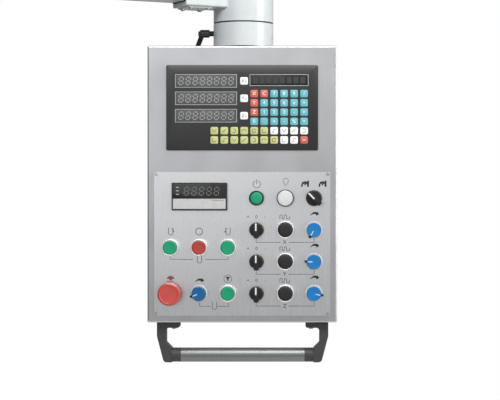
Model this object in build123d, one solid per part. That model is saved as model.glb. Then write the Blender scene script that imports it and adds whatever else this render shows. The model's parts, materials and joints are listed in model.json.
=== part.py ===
from build123d import *
import os
from math import cos, radians, sin

# Operator pendant of a machine tool: a steel box with a position readout, a control plate and a
# handle, hung from a swivel hub on the end of a cable-carrying arm.
# The working frame has its origin on the swivel axis at the top face of the box.
# +X is the operator's right, -Y faces the operator and +Z is up. Sizes are in millimetres.

# Box, a bent sheet shell that opens at the back
BOX_WIDTH = 330.0
BOX_HEIGHT = 482.0
BOX_DEPTH = 110.0
SHEET = 2.0
BEND_RADIUS = 3.0
RETURN_FLANGE = 14.0
COVER_INSET = 2.0
COVER_GASKET = 2.0
COVER_SCREW_ROWS = 4

# Swivel hub, spindle and bush
HUB_RADIUS = 53.0
HUB_HEIGHT = 42.0
HUB_GASKET = 1.0
HUB_WALL = 11.0
HUB_WEB_BOTTOM = 18.0
HUB_SCREW_RADIUS = 47.5
SPINDLE_RADIUS = 28.0
SPINDLE_BORE = 22.0
SPINDLE_TAIL = 3.0
SPINDLE_FLANGE_ROOM = 5.0
SPINDLE_FLANGE_THICKNESS = 7.0
BUSH_WALL = 3.0
BUSH_LENGTH = 11.0
BUSH_FLANGE = 2.2
NUT_HEIGHT = 11.0
NUT_WALL = 8.0
NUT_SLOT = (5.0, 6.0)
HUB_THREAD = 14.0
HUB_SCREW_ENGAGEMENT = 12.0

# Elbow, with its spout turned towards the operator's left
ARM_YAW = 27.0
ELBOW_HEIGHT = 105.5
ELBOW_WALL = 6.0
ELBOW_FLOOR = 10.0
SPOUT_WIDTH = 61.0
SPOUT_REACH = 122.0
SPOUT_BOTTOM = 67.5
SPOUT_WALL = 5.0
SPOUT_END_WALL = 8.0
SPOUT_EDGE = 3.0
CAP_THICKNESS = 3.0
CAP_EDGE = 2.0
CAP_LIP = 4.0
CAP_LIP_WALL = 3.0
ACCESS_PLATE = (46.0, 50.0, 2.5)
ACCESS_HOLE = (34.0, 26.0)
ACCESS_SCREWS = (32.0, 36.0)
ACCESS_REACH = 93.0
ACCESS_CORNER = 4.0
SCREW_SHORT_OF_END = 1.0

# Arm tube and its end flange
TUBE_BOTTOM = 76.0
TUBE_HEIGHT = 60.0
TUBE_WALL = 4.0
TUBE_CORNER = 8.0
TUBE_END_PLATE = 8.0
ARM_GASKET = 2.0
ARM_GASKET_PROUD = 1.5
ARM_REACH = 330.0
ARM_FLANGE_THICKNESS = 10.0
ARM_BOLT_OFFSET = 21.0
ARM_BOLT_HOLE = 3.3
CABLE_HOLE = 18.0
JOINT_SCREWS = (40.0, 36.0)

# Clamp lever on the hub's left side
CLAMP_HEIGHT = 26.0
CLAMP_SHANK = 4.0
CLAMP_NECK = (4.7, 6.8)
CLAMP_HUB = (6.95, 16.5)
CLAMP_BUTTON = (4.5, 3.1)
CLAMP_CORE = 3.5
LEVER_LENGTH = 40.0
LEVER_RADIUS = 4.4
LEVER_ANGLE = 60.0
LEVER_SPLAY = 0.57
CLAMP_PAD_LENGTH = 4.0
CLAMP_CORE_SHORT = 6.0
CLAMP_HUB_END = 3.0

# Position readout
READOUT_WIDTH = 264.0
READOUT_HEIGHT = 148.5
READOUT_TOP = 34.0
READOUT_PLATE = 3.0
READOUT_CORNER = 3.0
MEMBRANE = 0.5
KEY_RISE = 0.6
KEY_SIZE = (13.4, 13.1)
KEY_PITCH = (17.33, 16.1)
KEY_FIRST = (146.3, 43.3)
KEY_CORNER = 2.5
SHORT_ROWS = 4
LONG_ROWS = 2
SHORT_ROW_KEYS = 6
LONG_ROW_EXTRA = 4
ZERO_KEY = 13.0
ZERO_KEY_LEFT = 128.9
AXIS_WINDOW = (105.3, 21.0)
AXIS_WINDOW_FIRST = (16.6, 17.2)
AXIS_WINDOW_PITCH = 30.25
AXIS_COUNT = 3
MESSAGE_WINDOW = (100.0, 18.1)
WINDOW_THICKNESS = 2.0
WINDOW_LAP = 1.5
READOUT_CASE_INSET = 8.0
READOUT_CASE_DEPTH = 36.0
CASE_WALL = 1.5
BOARD_THICKNESS = 1.6
DISPLAY_DEPTH = 7.0

# Control plate
PLATE_WIDTH = 306.0
PLATE_HEIGHT = 249.7
PLATE_TOP = 220.3
PLATE_THICKNESS = 2.0
PLATE_LAP = 12.0
PLATE_SCREW_INSET = 3.7

# Device grid on the control plate: columns to each side of the middle, rows down from the box top
COLUMN = 50.0
ROW_FIRST = 265.4
ROW_X_AXIS = 320.5
ROW_PITCH = 55.35
ROW_SPINDLE = 351.5

# Parts that every panel device shares
DEVICE_TUBE = 11.0
DEVICE_TUBE_LENGTH = 16.0
DEVICE_HOLE_CLEARANCE = 0.15
PANEL_NUT_WALL = 3.5
PANEL_NUT_HEIGHT = 4.0
BLOCK_SIZE = (30.0, 42.0, 38.0)
BLOCK_EDGE = 1.5
COLLAR_WALL = 2.5
PLUNGER_ROOM = 1.0

# Push buttons
BEZEL_HEIGHT = 9.0
BEZEL_FLOOR = 0.8
CAP_FRONT = 10.0
CAP_DEPTH = 4.8
STEM_RADIUS = 8.0
BEZEL_EDGE = 0.6
CAP_EDGE_RADIUS = 1.0

# Selector switches
SELECTOR_BEZEL = 4.0
SELECTOR_DISC = 6.0
GRIP_WIDTH = 8.0
GRIP_RISE = 12.0
GRIP_OVERHANG = 1.8

# Rotary knobs on potentiometers
DIAL_RADIUS = 14.0
DIAL_HEIGHT = 2.5
KNOB_RADIUS = 12.3
KNOB_BACK = 3.2
KNOB_FRONT = 17.0
NUB_WIDTH = 3.8
NUB_REACH = 16.0
NUB_HEIGHT = 3.0
SHAFT_RADIUS = 3.0
POT_RADIUS = 12.0
POT_LENGTH = 14.0
POT_END = 2.0
KNOB_EDGE = 1.2

# Emergency stop
STOP_HEAD_RADIUS = 20.0
STOP_HEAD_FRONT = 30.0
STOP_HEAD_BACK = 17.0
STOP_NECK = 12.0
STOP_BASE_RADIUS = 16.0
STOP_BASE_HEIGHT = 9.0
STOP_TRAVEL = 5.0
PLUNGER_RADIUS = 9.3
SPIGOT_RADIUS = 7.0
SPIGOT_HEIGHT = 11.0
STOP_HEAD_EDGE = 4.0

# Tachometer, a panel meter of 96 by 48
METER_SIZE = (96.0, 48.3)
METER_CENTRE = (-74.0, 262.75)
METER_BEZEL = 8.0
METER_RIM = 2.0
METER_BODY = (91.0, 44.0)
METER_DEPTH = 60.0
METER_WINDOW_HEIGHT = 25.6
METER_WINDOW_THICKNESS = 2.0
FLAP_THICKNESS = 2.2
FLAP_PIN = (0.8, 1.4)
CLIP_SIZE = (50.0, 6.0, 12.0)
METER_WALL = 2.0
METER_FRONT_SPACE = 4.0
METER_LEDGE = (3.0, 2.0)
METER_CORNER = 1.5
FLAP_TAB = (21.0, 2.2, 1.2)
FLAP_TAB_INSET = 3.0
METER_BOARD = 1.6
METER_MODULE_MARGIN = (6.0, 3.0)

# Handle below the box
HANDLE_SET_BACK = 29.0
HANDLE_OUTER = 150.0
HANDLE_FLANGE_INNER = 110.0
HANDLE_FLANGE = 10.5
HANDLE_LEG = 16.0
HANDLE_SHOULDER = 25.0
HANDLE_FOOT = 138.0
HANDLE_DROP = 71.0
HANDLE_WIDTH = 26.0
GRIP_TUBE_RADIUS = 12.5
GRIP_TUBE_WALL = 2.5
GRIP_TUBE_HALF = 108.5
SPIGOT_LENGTH = 15.0
SOCKET_OVERLAP = 1.0
HANDLE_SCREW_X = 120.0
HANDLE_SCREW_SPREAD = 8.0
HANDLE_SINK = 3.0
HANDLE_KNEE = 10.0
HANDLE_FOOT_LEG = 14.0
HANDLE_FILLETS = (7.0, 5.0, 4.0)
NUT_M5 = (4.4, 4.0)

# Clearances
AIR_GAP = 0.3
RUNNING = 0.05
PUSH_FIT = 0.05
THREAD_FIT = 0.05

# Screws: shank radius, head radius, head height
SCREW_M3 = (1.5, 2.9, 1.9)
SCREW_M4 = (2.0, 3.6, 2.2)
SCREW_M5 = (2.5, 3.65, 5.0)
SCREW_CLEARANCE = 0.25

# Places that follow from the sizes above
BOX_FRONT = -BOX_DEPTH / 2
BOX_BACK = BOX_DEPTH / 2
PLATE_FACE = BOX_FRONT - PLATE_THICKNESS
ELBOW_BOTTOM = HUB_HEIGHT + BUSH_FLANGE + AIR_GAP
ELBOW_TOP = ELBOW_BOTTOM + ELBOW_HEIGHT
SPINDLE_SEAT = ELBOW_BOTTOM + ELBOW_FLOOR
TUBE_MIDDLE = TUBE_BOTTOM + TUBE_HEIGHT / 2
SPINDLE_FLANGE = HUB_RADIUS - ELBOW_WALL - SPINDLE_FLANGE_ROOM
NUT_RADIUS = SPINDLE_RADIUS + NUT_WALL
DEVICE_HOLE = DEVICE_TUBE + DEVICE_HOLE_CLEARANCE
READOUT_LEFT = -READOUT_WIDTH / 2
HANDLE_Y = BOX_FRONT + HANDLE_SET_BACK
GRIP_TUBE_Z = -BOX_HEIGHT - HANDLE_DROP + GRIP_TUBE_RADIUS
ROW_Z_AXIS = ROW_X_AXIS + 2 * ROW_PITCH

# Push buttons: name, column in pitches from the middle, row, bezel radius, cap radius
BUTTONS = [
    ("power_button", 0.5, ROW_FIRST, 13.0, 10.5),
    ("lamp_button", 1.5, ROW_FIRST, 15.0, 13.4),
    ("spindle_forward_button", -2.5, ROW_SPINDLE, 14.6, 11.9),
    ("spindle_stop_button", -1.5, ROW_SPINDLE, 14.6, 11.9),
    ("spindle_reverse_button", -0.5, ROW_SPINDLE, 14.6, 11.9),
    ("tapping_button", -0.5, ROW_Z_AXIS, 14.6, 11.9),
    ("x_rapid_button", 1.5, ROW_X_AXIS, 15.0, 12.7),
    ("y_rapid_button", 1.5, ROW_X_AXIS + ROW_PITCH, 15.0, 12.7),
    ("z_rapid_button", 1.5, ROW_Z_AXIS, 15.0, 12.7),
]

# Selectors: name, column, row, disc radius, pointer angle clockwise from straight up
SELECTORS = [
    ("gear_selector", 2.5, ROW_FIRST, 14.0, -45.0),
    ("x_direction_selector", 0.5, ROW_X_AXIS, 12.7, 0.0),
    ("y_direction_selector", 0.5, ROW_X_AXIS + ROW_PITCH, 12.7, 0.0),
    ("z_direction_selector", 0.5, ROW_Z_AXIS, 12.7, 0.0),
]

# Knobs: name, column, row, pointer angle clockwise from straight up
KNOBS = [
    ("spindle_speed_knob", -1.5, ROW_Z_AXIS, -111.0),
    ("x_feed_knob", 2.5, ROW_X_AXIS, -150.0),
    ("y_feed_knob", 2.5, ROW_X_AXIS + ROW_PITCH, -88.0),
    ("z_feed_knob", 2.5, ROW_Z_AXIS, 101.0),
]
STOP_PLACE = (-2.5, ROW_Z_AXIS)


def block(low, high):
    """Box between two corners."""
    middle = [(a + b) / 2 for a, b in zip(low, high)]
    return Pos(*middle) * Box(*[b - a for a, b in zip(low, high)])


def disc_z(x, y, radius, low, high):
    """Upright cylinder between two heights."""
    return Pos(x, y, (low + high) / 2) * Cylinder(radius, high - low)


def disc_y(x, z, radius, front, back):
    """Cylinder along Y between two depths."""
    return Pos(x, (front + back) / 2, z) * Rot(X=90) * Cylinder(radius, back - front)


def disc_x(y, z, radius, left, right):
    """Cylinder along X between two places."""
    return Pos((left + right) / 2, y, z) * Rot(Y=90) * Cylinder(radius, right - left)


def slab_y(x, z, width, height, front, back, corner):
    """Plate facing -Y with rounded corners, centred on x and z."""
    outline = Rot(X=90) * RectangleRounded(width, height, corner)
    return extrude(Pos(x, back, z) * outline, back - front, dir=(0, -1, 0))


def screw(kind, length):
    """Socket screw along Z: its head stands above z = 0 and its shank hangs below."""
    shank, head, head_height = kind
    body = disc_z(0, 0, head, 0, head_height) + disc_z(0, 0, shank, -length, 0)
    body = chamfer(body.edges().sort_by(Axis.Z)[-1], 0.4)
    socket = extrude(Pos(0, 0, head_height) * RegularPolygon(shank, 6), -0.45 * head_height)
    return body - socket


def corners(width, depth):
    """The four corners of a rectangle about its middle."""
    return [(i * width / 2, j * depth / 2) for i in (-1, 1) for j in (-1, 1)]


def on_arm(part):
    """Turn something built along -X into the arm's direction."""
    return Rot(Z=ARM_YAW) * part


def device_place(column, row):
    return column * COLUMN, -row


# ---------------------------------------------------------------- arm and elbow

def arm_tube():
    """Square tube with a drilled plate welded in at the elbow end."""
    start = SPOUT_REACH + ARM_GASKET
    length = ARM_REACH - ARM_FLANGE_THICKNESS - start
    outer = Pos(-start, 0, TUBE_MIDDLE) * Rot(Y=-90) * RectangleRounded(TUBE_HEIGHT, SPOUT_WIDTH, TUBE_CORNER)
    inner = Pos(-start, 0, TUBE_MIDDLE) * Rot(Y=-90) * RectangleRounded(
        TUBE_HEIGHT - 2 * TUBE_WALL, SPOUT_WIDTH - 2 * TUBE_WALL, TUBE_CORNER - TUBE_WALL
    )
    bore = extrude(inner, length - TUBE_END_PLATE, dir=(-1, 0, 0))
    tube = extrude(outer, length, dir=(-1, 0, 0)) - Pos(-TUBE_END_PLATE, 0, 0) * bore
    tube -= disc_x(0, TUBE_MIDDLE, CABLE_HOLE, -start - TUBE_END_PLATE, -start)
    for y, z in corners(*JOINT_SCREWS):
        tube -= disc_x(y, TUBE_MIDDLE + z, SCREW_M5[0] + THREAD_FIT, -start - TUBE_END_PLATE, -start)
    return on_arm(tube)


def arm_gasket():
    outline = RectangleRounded(
        TUBE_HEIGHT + 2 * ARM_GASKET_PROUD, SPOUT_WIDTH + 2 * ARM_GASKET_PROUD, TUBE_CORNER + ARM_GASKET_PROUD
    )
    sheet = extrude(Pos(-SPOUT_REACH, 0, TUBE_MIDDLE) * Rot(Y=-90) * outline, ARM_GASKET, dir=(-1, 0, 0))
    sheet -= disc_x(0, TUBE_MIDDLE, CABLE_HOLE, -SPOUT_REACH - ARM_GASKET, -SPOUT_REACH)
    for y, z in corners(*JOINT_SCREWS):
        hole = SCREW_M5[0] + SCREW_CLEARANCE
        sheet -= disc_x(y, TUBE_MIDDLE + z, hole, -SPOUT_REACH - ARM_GASKET, -SPOUT_REACH)
    return on_arm(sheet)


def arm_end_flange():
    """Plate that closes the tube's end, with four bolt holes round the cable hole."""
    outline = Pos(-ARM_REACH, 0, TUBE_MIDDLE) * Rot(Y=-90) * RectangleRounded(
        TUBE_HEIGHT, SPOUT_WIDTH, TUBE_CORNER
    )
    plate = extrude(outline, ARM_FLANGE_THICKNESS, dir=(1, 0, 0))
    right = -ARM_REACH + ARM_FLANGE_THICKNESS
    plate -= disc_x(0, TUBE_MIDDLE, CABLE_HOLE, -ARM_REACH, right)
    for y, z in corners(2 * ARM_BOLT_OFFSET, 2 * ARM_BOLT_OFFSET):
        plate -= disc_x(y, TUBE_MIDDLE + z, ARM_BOLT_HOLE, -ARM_REACH, right)
    return on_arm(plate)


def elbow_housing():
    """Round cast cup over the hub with a square spout, open on top."""
    drum = disc_z(0, 0, HUB_RADIUS, ELBOW_BOTTOM, ELBOW_TOP)
    half = SPOUT_WIDTH / 2
    spout = block((-SPOUT_REACH, -half, SPOUT_BOTTOM), (0, half, ELBOW_TOP))
    spout = fillet(spout.edges().filter_by(Axis.X), SPOUT_EDGE)
    inner_half = half - SPOUT_WALL
    duct = block(
        (-SPOUT_REACH + SPOUT_END_WALL, -inner_half, SPOUT_BOTTOM + SPOUT_WALL),
        (0, inner_half, ELBOW_TOP - SPOUT_WALL),
    )
    body = drum + spout
    body -= duct
    body -= disc_z(0, 0, HUB_RADIUS - ELBOW_WALL, SPINDLE_SEAT, ELBOW_TOP)
    body -= disc_z(0, 0, SPINDLE_RADIUS + PUSH_FIT, ELBOW_BOTTOM, SPINDLE_SEAT)
    body -= disc_x(0, TUBE_MIDDLE, CABLE_HOLE, -SPOUT_REACH, -SPOUT_REACH + SPOUT_END_WALL)
    for y, z in corners(*JOINT_SCREWS):
        hole = SCREW_M5[0] + SCREW_CLEARANCE
        body -= disc_x(y, TUBE_MIDDLE + z, hole, -SPOUT_REACH, -SPOUT_REACH + SPOUT_END_WALL)
    for x, y in corners(*spindle_screw_square()):
        body -= disc_z(x, y, SCREW_M5[0] + THREAD_FIT, ELBOW_BOTTOM, SPINDLE_SEAT)
    access_x, access_y = ACCESS_HOLE
    body -= Pos(-ACCESS_REACH, 0, SPOUT_BOTTOM + SPOUT_WALL / 2) * Box(access_x, access_y, SPOUT_WALL)
    for x, y in corners(*ACCESS_SCREWS):
        hole = SCREW_M4[0] + THREAD_FIT
        body -= disc_z(-ACCESS_REACH + x, y, hole, SPOUT_BOTTOM, SPOUT_BOTTOM + SPOUT_WALL)
    return on_arm(body)


def spindle_screw_square():
    """Side lengths of the square that the spindle screws stand on."""
    middle_radius = (SPINDLE_RADIUS + SPINDLE_FLANGE) / 2
    side = 2 * middle_radius * cos(radians(45))
    return side, side


def elbow_cover_plate():
    length, width, thickness = ACCESS_PLATE
    outline = Pos(-ACCESS_REACH, 0, SPOUT_BOTTOM - thickness) * RectangleRounded(length, width, ACCESS_CORNER)
    plate = extrude(outline, thickness)
    for x, y in corners(*ACCESS_SCREWS):
        hole = SCREW_M4[0] + SCREW_CLEARANCE
        plate -= disc_z(-ACCESS_REACH + x, y, hole, SPOUT_BOTTOM - thickness, SPOUT_BOTTOM)
    return on_arm(plate)


def elbow_cap():
    """Round lid with a locating lip inside the cup."""
    lid = disc_z(0, 0, HUB_RADIUS, ELBOW_TOP, ELBOW_TOP + CAP_THICKNESS)
    lid = fillet(lid.edges().group_by(Axis.Z)[-1], CAP_EDGE)
    lip_radius = HUB_RADIUS - ELBOW_WALL - PUSH_FIT
    lip = disc_z(0, 0, lip_radius, ELBOW_TOP - CAP_LIP, ELBOW_TOP)
    return lid + lip - disc_z(0, 0, lip_radius - CAP_LIP_WALL, ELBOW_TOP - CAP_LIP, ELBOW_TOP)


def elbow_screws():
    """Four screws each for the spindle, the arm joint and the access plate."""
    group = []
    for x, y in corners(*spindle_screw_square()):
        length = SPINDLE_FLANGE_THICKNESS + ELBOW_FLOOR - SCREW_SHORT_OF_END
        group.append(Pos(x, y, SPINDLE_SEAT + SPINDLE_FLANGE_THICKNESS) * screw(SCREW_M5, length))
    for y, z in corners(*JOINT_SCREWS):
        place = Pos(-SPOUT_REACH + SPOUT_END_WALL, y, TUBE_MIDDLE + z) * Rot(Y=90)
        length = SPOUT_END_WALL + ARM_GASKET + TUBE_END_PLATE - SCREW_SHORT_OF_END
        group.append(place * screw(SCREW_M5, length))
    for x, y in corners(*ACCESS_SCREWS):
        place = Pos(-ACCESS_REACH + x, y, SPOUT_BOTTOM - ACCESS_PLATE[2]) * Rot(X=180)
        group.append(place * screw(SCREW_M4, ACCESS_PLATE[2] + SPOUT_WALL - SCREW_SHORT_OF_END))
    return [on_arm(part) for part in group]


def swivel_spindle():
    """Hollow flanged spindle that the hub turns on."""
    bottom = HUB_GASKET + SPINDLE_TAIL
    top = SPINDLE_SEAT + SPINDLE_FLANGE_THICKNESS
    body = disc_z(0, 0, SPINDLE_RADIUS, bottom, SPINDLE_SEAT)
    body += disc_z(0, 0, SPINDLE_FLANGE, SPINDLE_SEAT, top)
    body -= disc_z(0, 0, SPINDLE_BORE, bottom, top)
    for x, y in corners(*spindle_screw_square()):
        body -= disc_z(x, y, SCREW_M5[0] + SCREW_CLEARANCE, SPINDLE_SEAT, top)
    return on_arm(body)


def spindle_nut():
    """Slotted ring nut that keeps the hub on its spindle."""
    top = HUB_WEB_BOTTOM - AIR_GAP
    ring = disc_z(0, 0, NUT_RADIUS, top - NUT_HEIGHT, top)
    ring -= disc_z(0, 0, SPINDLE_RADIUS + THREAD_FIT, top - NUT_HEIGHT, top)
    for turn in range(4):
        slot = Pos(NUT_RADIUS, 0, top - NUT_HEIGHT / 2) * Box(*NUT_SLOT, NUT_HEIGHT)
        ring -= Rot(Z=90 * turn) * slot
    return ring


# ---------------------------------------------------------------- hub and clamp

def swivel_bush():
    """Flanged bush: its collar is the dark line between hub and elbow."""
    inner = SPINDLE_RADIUS + RUNNING
    sleeve = disc_z(0, 0, SPINDLE_RADIUS + BUSH_WALL, HUB_HEIGHT - BUSH_LENGTH, HUB_HEIGHT)
    collar = disc_z(0, 0, HUB_RADIUS - 1, HUB_HEIGHT, HUB_HEIGHT + BUSH_FLANGE)
    return sleeve + collar - disc_z(0, 0, inner, HUB_HEIGHT - BUSH_LENGTH, HUB_HEIGHT + BUSH_FLANGE)


def hub_screw_places():
    side = HUB_SCREW_RADIUS * cos(radians(45)) * 2
    return corners(side, side)


def swivel_hub():
    """Cast hub: a bored web carries the bush, a skirt below it makes room for the nut."""
    body = disc_z(0, 0, HUB_RADIUS, HUB_GASKET, HUB_HEIGHT)
    body -= disc_z(0, 0, HUB_RADIUS - HUB_WALL, HUB_GASKET, HUB_WEB_BOTTOM)
    body -= disc_z(0, 0, SPINDLE_RADIUS + 2 * AIR_GAP, HUB_WEB_BOTTOM, HUB_HEIGHT)
    body -= disc_z(0, 0, SPINDLE_RADIUS + BUSH_WALL, HUB_HEIGHT - BUSH_LENGTH, HUB_HEIGHT)
    for x, y in hub_screw_places():
        body -= disc_z(x, y, SCREW_M5[0] + THREAD_FIT, HUB_GASKET, HUB_GASKET + HUB_THREAD)
    return body - disc_x(0, CLAMP_HEIGHT, CLAMP_SHANK + RUNNING, -HUB_RADIUS, -SPINDLE_RADIUS)


def hub_gasket():
    ring = disc_z(0, 0, HUB_RADIUS - 0.5, 0, HUB_GASKET)
    ring -= disc_z(0, 0, HUB_RADIUS - HUB_WALL, 0, HUB_GASKET)
    for x, y in hub_screw_places():
        ring -= disc_z(x, y, SCREW_M5[0] + SCREW_CLEARANCE, 0, HUB_GASKET)
    return ring


def hub_screws():
    """Screws from inside the box up into the hub."""
    length = SHEET + HUB_GASKET + HUB_SCREW_ENGAGEMENT
    return [Pos(x, y, -SHEET) * Rot(X=180) * screw(SCREW_M5, length) for x, y in hub_screw_places()]


def clamp_screw():
    """Threaded shank with a neck and the core that the lever slips over."""
    inner = -SPINDLE_RADIUS - CLAMP_PAD_LENGTH
    neck_start = -HUB_RADIUS - AIR_GAP
    neck_end = neck_start - CLAMP_NECK[1]
    body = disc_x(0, CLAMP_HEIGHT, CLAMP_SHANK, neck_start, inner)
    body += disc_x(0, CLAMP_HEIGHT, CLAMP_NECK[0], neck_end, neck_start)
    core_end = neck_end - CLAMP_HUB[1] + CLAMP_CORE_SHORT
    return body + disc_x(0, CLAMP_HEIGHT, CLAMP_CORE, core_end, neck_end)


def clamp_pad():
    """Brass pad between the screw and the spindle."""
    left = -SPINDLE_RADIUS - CLAMP_PAD_LENGTH + AIR_GAP
    return disc_x(0, CLAMP_HEIGHT, CLAMP_SHANK - RUNNING, left, -SPINDLE_RADIUS - AIR_GAP)


def clamp_handle():
    """Lever that lifts outwards off its teeth, with an arm that points down to the rear."""
    right = -HUB_RADIUS - CLAMP_NECK[1] - 2 * AIR_GAP
    left = right - CLAMP_HUB[1]
    body = disc_x(0, CLAMP_HEIGHT, CLAMP_HUB[0], left, right)
    body = fillet(body.edges().group_by(Axis.X)[0], 1)
    body += disc_x(0, CLAMP_HEIGHT, CLAMP_BUTTON[0], left - CLAMP_BUTTON[1], left)
    drop = LEVER_LENGTH * cos(radians(LEVER_ANGLE))
    back = LEVER_LENGTH * sin(radians(LEVER_ANGLE))
    root = Vector(left + LEVER_RADIUS, 0, CLAMP_HEIGHT)
    tip = root + Vector(-LEVER_SPLAY * drop, back, -drop)
    line = Plane(origin=root, z_dir=tip - root)
    reach = (tip - root).length
    arm = line * Pos(0, 0, reach / 2) * Cylinder(LEVER_RADIUS, reach)
    body += arm + Pos(*tip) * Sphere(LEVER_RADIUS)
    core_room = disc_x(0, CLAMP_HEIGHT, CLAMP_CORE + AIR_GAP, left + CLAMP_HUB_END, right)
    return body - core_room


# ---------------------------------------------------------------- box and rear cover

def cover_screw_places():
    """Two columns of screws up the return flanges."""
    x = BOX_WIDTH / 2 - SHEET - RETURN_FLANGE / 2
    top = -SHEET - RETURN_FLANGE / 2
    pitch = (BOX_HEIGHT + 2 * top) / (COVER_SCREW_ROWS - 1)
    return [(side * x, top - row * pitch) for side in (-1, 1) for row in range(COVER_SCREW_ROWS)]


def plate_screw_places():
    x = PLATE_WIDTH / 2 - PLATE_SCREW_INSET
    top = -PLATE_TOP - PLATE_SCREW_INSET
    bottom = -PLATE_TOP - PLATE_HEIGHT + PLATE_SCREW_INSET
    return [(side * x, z) for side in (-1, 1) for z in (top, bottom)]


def handle_screw_places():
    return [
        (side * HANDLE_SCREW_X, HANDLE_Y + spread)
        for side in (-1, 1)
        for spread in (-HANDLE_SCREW_SPREAD, HANDLE_SCREW_SPREAD)
    ]


def enclosure():
    """Folded steel shell with a return flange round its open back."""
    half = BOX_WIDTH / 2
    shell = block((-half, BOX_FRONT, -BOX_HEIGHT), (half, BOX_BACK, 0))
    bends = shell.edges().filter_by(Axis.Y) + shell.edges().group_by(Axis.Y)[0]
    shell = fillet(bends, BEND_RADIUS)
    inside = block(
        (-half + SHEET, BOX_FRONT + SHEET, -BOX_HEIGHT + SHEET), (half - SHEET, BOX_BACK - SHEET, -SHEET)
    )
    rim = SHEET + RETURN_FLANGE
    shell -= fillet(inside.edges().filter_by(Axis.Y), BEND_RADIUS - SHEET)
    shell -= block((-half + rim, 0, -BOX_HEIGHT + rim), (half - rim, BOX_BACK, -rim))
    inset = READOUT_CASE_INSET - AIR_GAP
    shell -= block(
        (READOUT_LEFT + inset, BOX_FRONT, -READOUT_TOP - READOUT_HEIGHT + inset),
        (-READOUT_LEFT - inset, 0, -READOUT_TOP - inset),
    )
    shell -= block(
        (-PLATE_WIDTH / 2 + PLATE_LAP, BOX_FRONT, -PLATE_TOP - PLATE_HEIGHT + PLATE_LAP),
        (PLATE_WIDTH / 2 - PLATE_LAP, 0, -PLATE_TOP - PLATE_LAP),
    )
    shell -= disc_z(0, 0, SPINDLE_RADIUS, -SHEET, 0)
    for x, y in hub_screw_places():
        shell -= disc_z(x, y, SCREW_M5[0] + SCREW_CLEARANCE, -SHEET, 0)
    for x, y in handle_screw_places():
        shell -= disc_z(x, y, SCREW_M5[0] + SCREW_CLEARANCE, -BOX_HEIGHT, -BOX_HEIGHT + SHEET)
    for x, z in plate_screw_places():
        shell -= disc_y(x, z, SCREW_M3[0] + THREAD_FIT, BOX_FRONT, BOX_FRONT + SHEET)
    for x, z in cover_screw_places():
        shell -= disc_y(x, z, SCREW_M4[0] + THREAD_FIT, BOX_BACK - SHEET, BOX_BACK)
    return shell


def cover_sheet(front, thickness, hole):
    """Sheet over the open back with a hole for each cover screw."""
    width = BOX_WIDTH - 2 * COVER_INSET
    height = BOX_HEIGHT - 2 * COVER_INSET
    sheet = slab_y(0, -BOX_HEIGHT / 2, width, height, front, front + thickness, BEND_RADIUS)
    for x, z in cover_screw_places():
        sheet -= disc_y(x, z, hole, front, front + thickness)
    return sheet


def rear_gasket():
    window_x = BOX_WIDTH - 2 * (SHEET + RETURN_FLANGE)
    window_z = BOX_HEIGHT - 2 * (SHEET + RETURN_FLANGE)
    sheet = cover_sheet(BOX_BACK, COVER_GASKET, SCREW_M4[0] + SCREW_CLEARANCE)
    middle = Pos(0, BOX_BACK + COVER_GASKET / 2, -BOX_HEIGHT / 2)
    return sheet - middle * Box(window_x, COVER_GASKET, window_z)


def rear_cover():
    return cover_sheet(BOX_BACK + COVER_GASKET, SHEET, SCREW_M4[0] + SCREW_CLEARANCE)


def rear_cover_screws():
    head_seat = BOX_BACK + COVER_GASKET + SHEET
    length = 2 * SHEET + COVER_GASKET + 4
    return [Pos(x, head_seat, z) * Rot(X=-90) * screw(SCREW_M4, length) for x, z in cover_screw_places()]


# ---------------------------------------------------------------- position readout

def readout_point(right, down):
    """Place on the readout from its own top left corner."""
    return READOUT_LEFT + right, -READOUT_TOP - down


def readout_windows():
    """Middle and size of each window: the axis rows, then the message row."""
    windows = []
    left, top = AXIS_WINDOW_FIRST
    width, height = AXIS_WINDOW
    for axis in range(AXIS_COUNT):
        middle = readout_point(left + width / 2, top + axis * AXIS_WINDOW_PITCH + height / 2)
        windows.append((middle, AXIS_WINDOW))
    width, height = MESSAGE_WINDOW
    windows.append((readout_point(KEY_FIRST[0] + width / 2, top + height / 2), MESSAGE_WINDOW))
    return windows


def readout_keys():
    """Middle and size of each key: the zero keys, then the grid from the top row down."""
    keys = []
    for middle, size in readout_windows()[:AXIS_COUNT]:
        x = READOUT_LEFT + ZERO_KEY_LEFT + ZERO_KEY / 2
        keys.append(((x, middle[1]), (ZERO_KEY, ZERO_KEY)))
    for row in range(SHORT_ROWS + LONG_ROWS):
        first = 0 if row < SHORT_ROWS else -LONG_ROW_EXTRA
        for column in range(first, SHORT_ROW_KEYS):
            right = KEY_FIRST[0] + column * KEY_PITCH[0] + KEY_SIZE[0] / 2
            down = KEY_FIRST[1] + row * KEY_PITCH[1] + KEY_SIZE[1] / 2
            keys.append((readout_point(right, down), KEY_SIZE))
    return keys


def readout_middle():
    return -READOUT_TOP - READOUT_HEIGHT / 2


def readout_bezel():
    """Front plate of the readout with a seat for each window."""
    front = BOX_FRONT - READOUT_PLATE
    plate = slab_y(0, readout_middle(), READOUT_WIDTH, READOUT_HEIGHT, front, BOX_FRONT, READOUT_CORNER)
    for (x, z), (width, height) in readout_windows():
        seat = Box(width + 2 * WINDOW_LAP, WINDOW_THICKNESS, height + 2 * WINDOW_LAP)
        plate -= Pos(x, front + WINDOW_THICKNESS / 2, z) * seat
        plate -= Pos(x, front + READOUT_PLATE / 2, z) * Box(width, READOUT_PLATE, height)
    return plate


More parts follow.
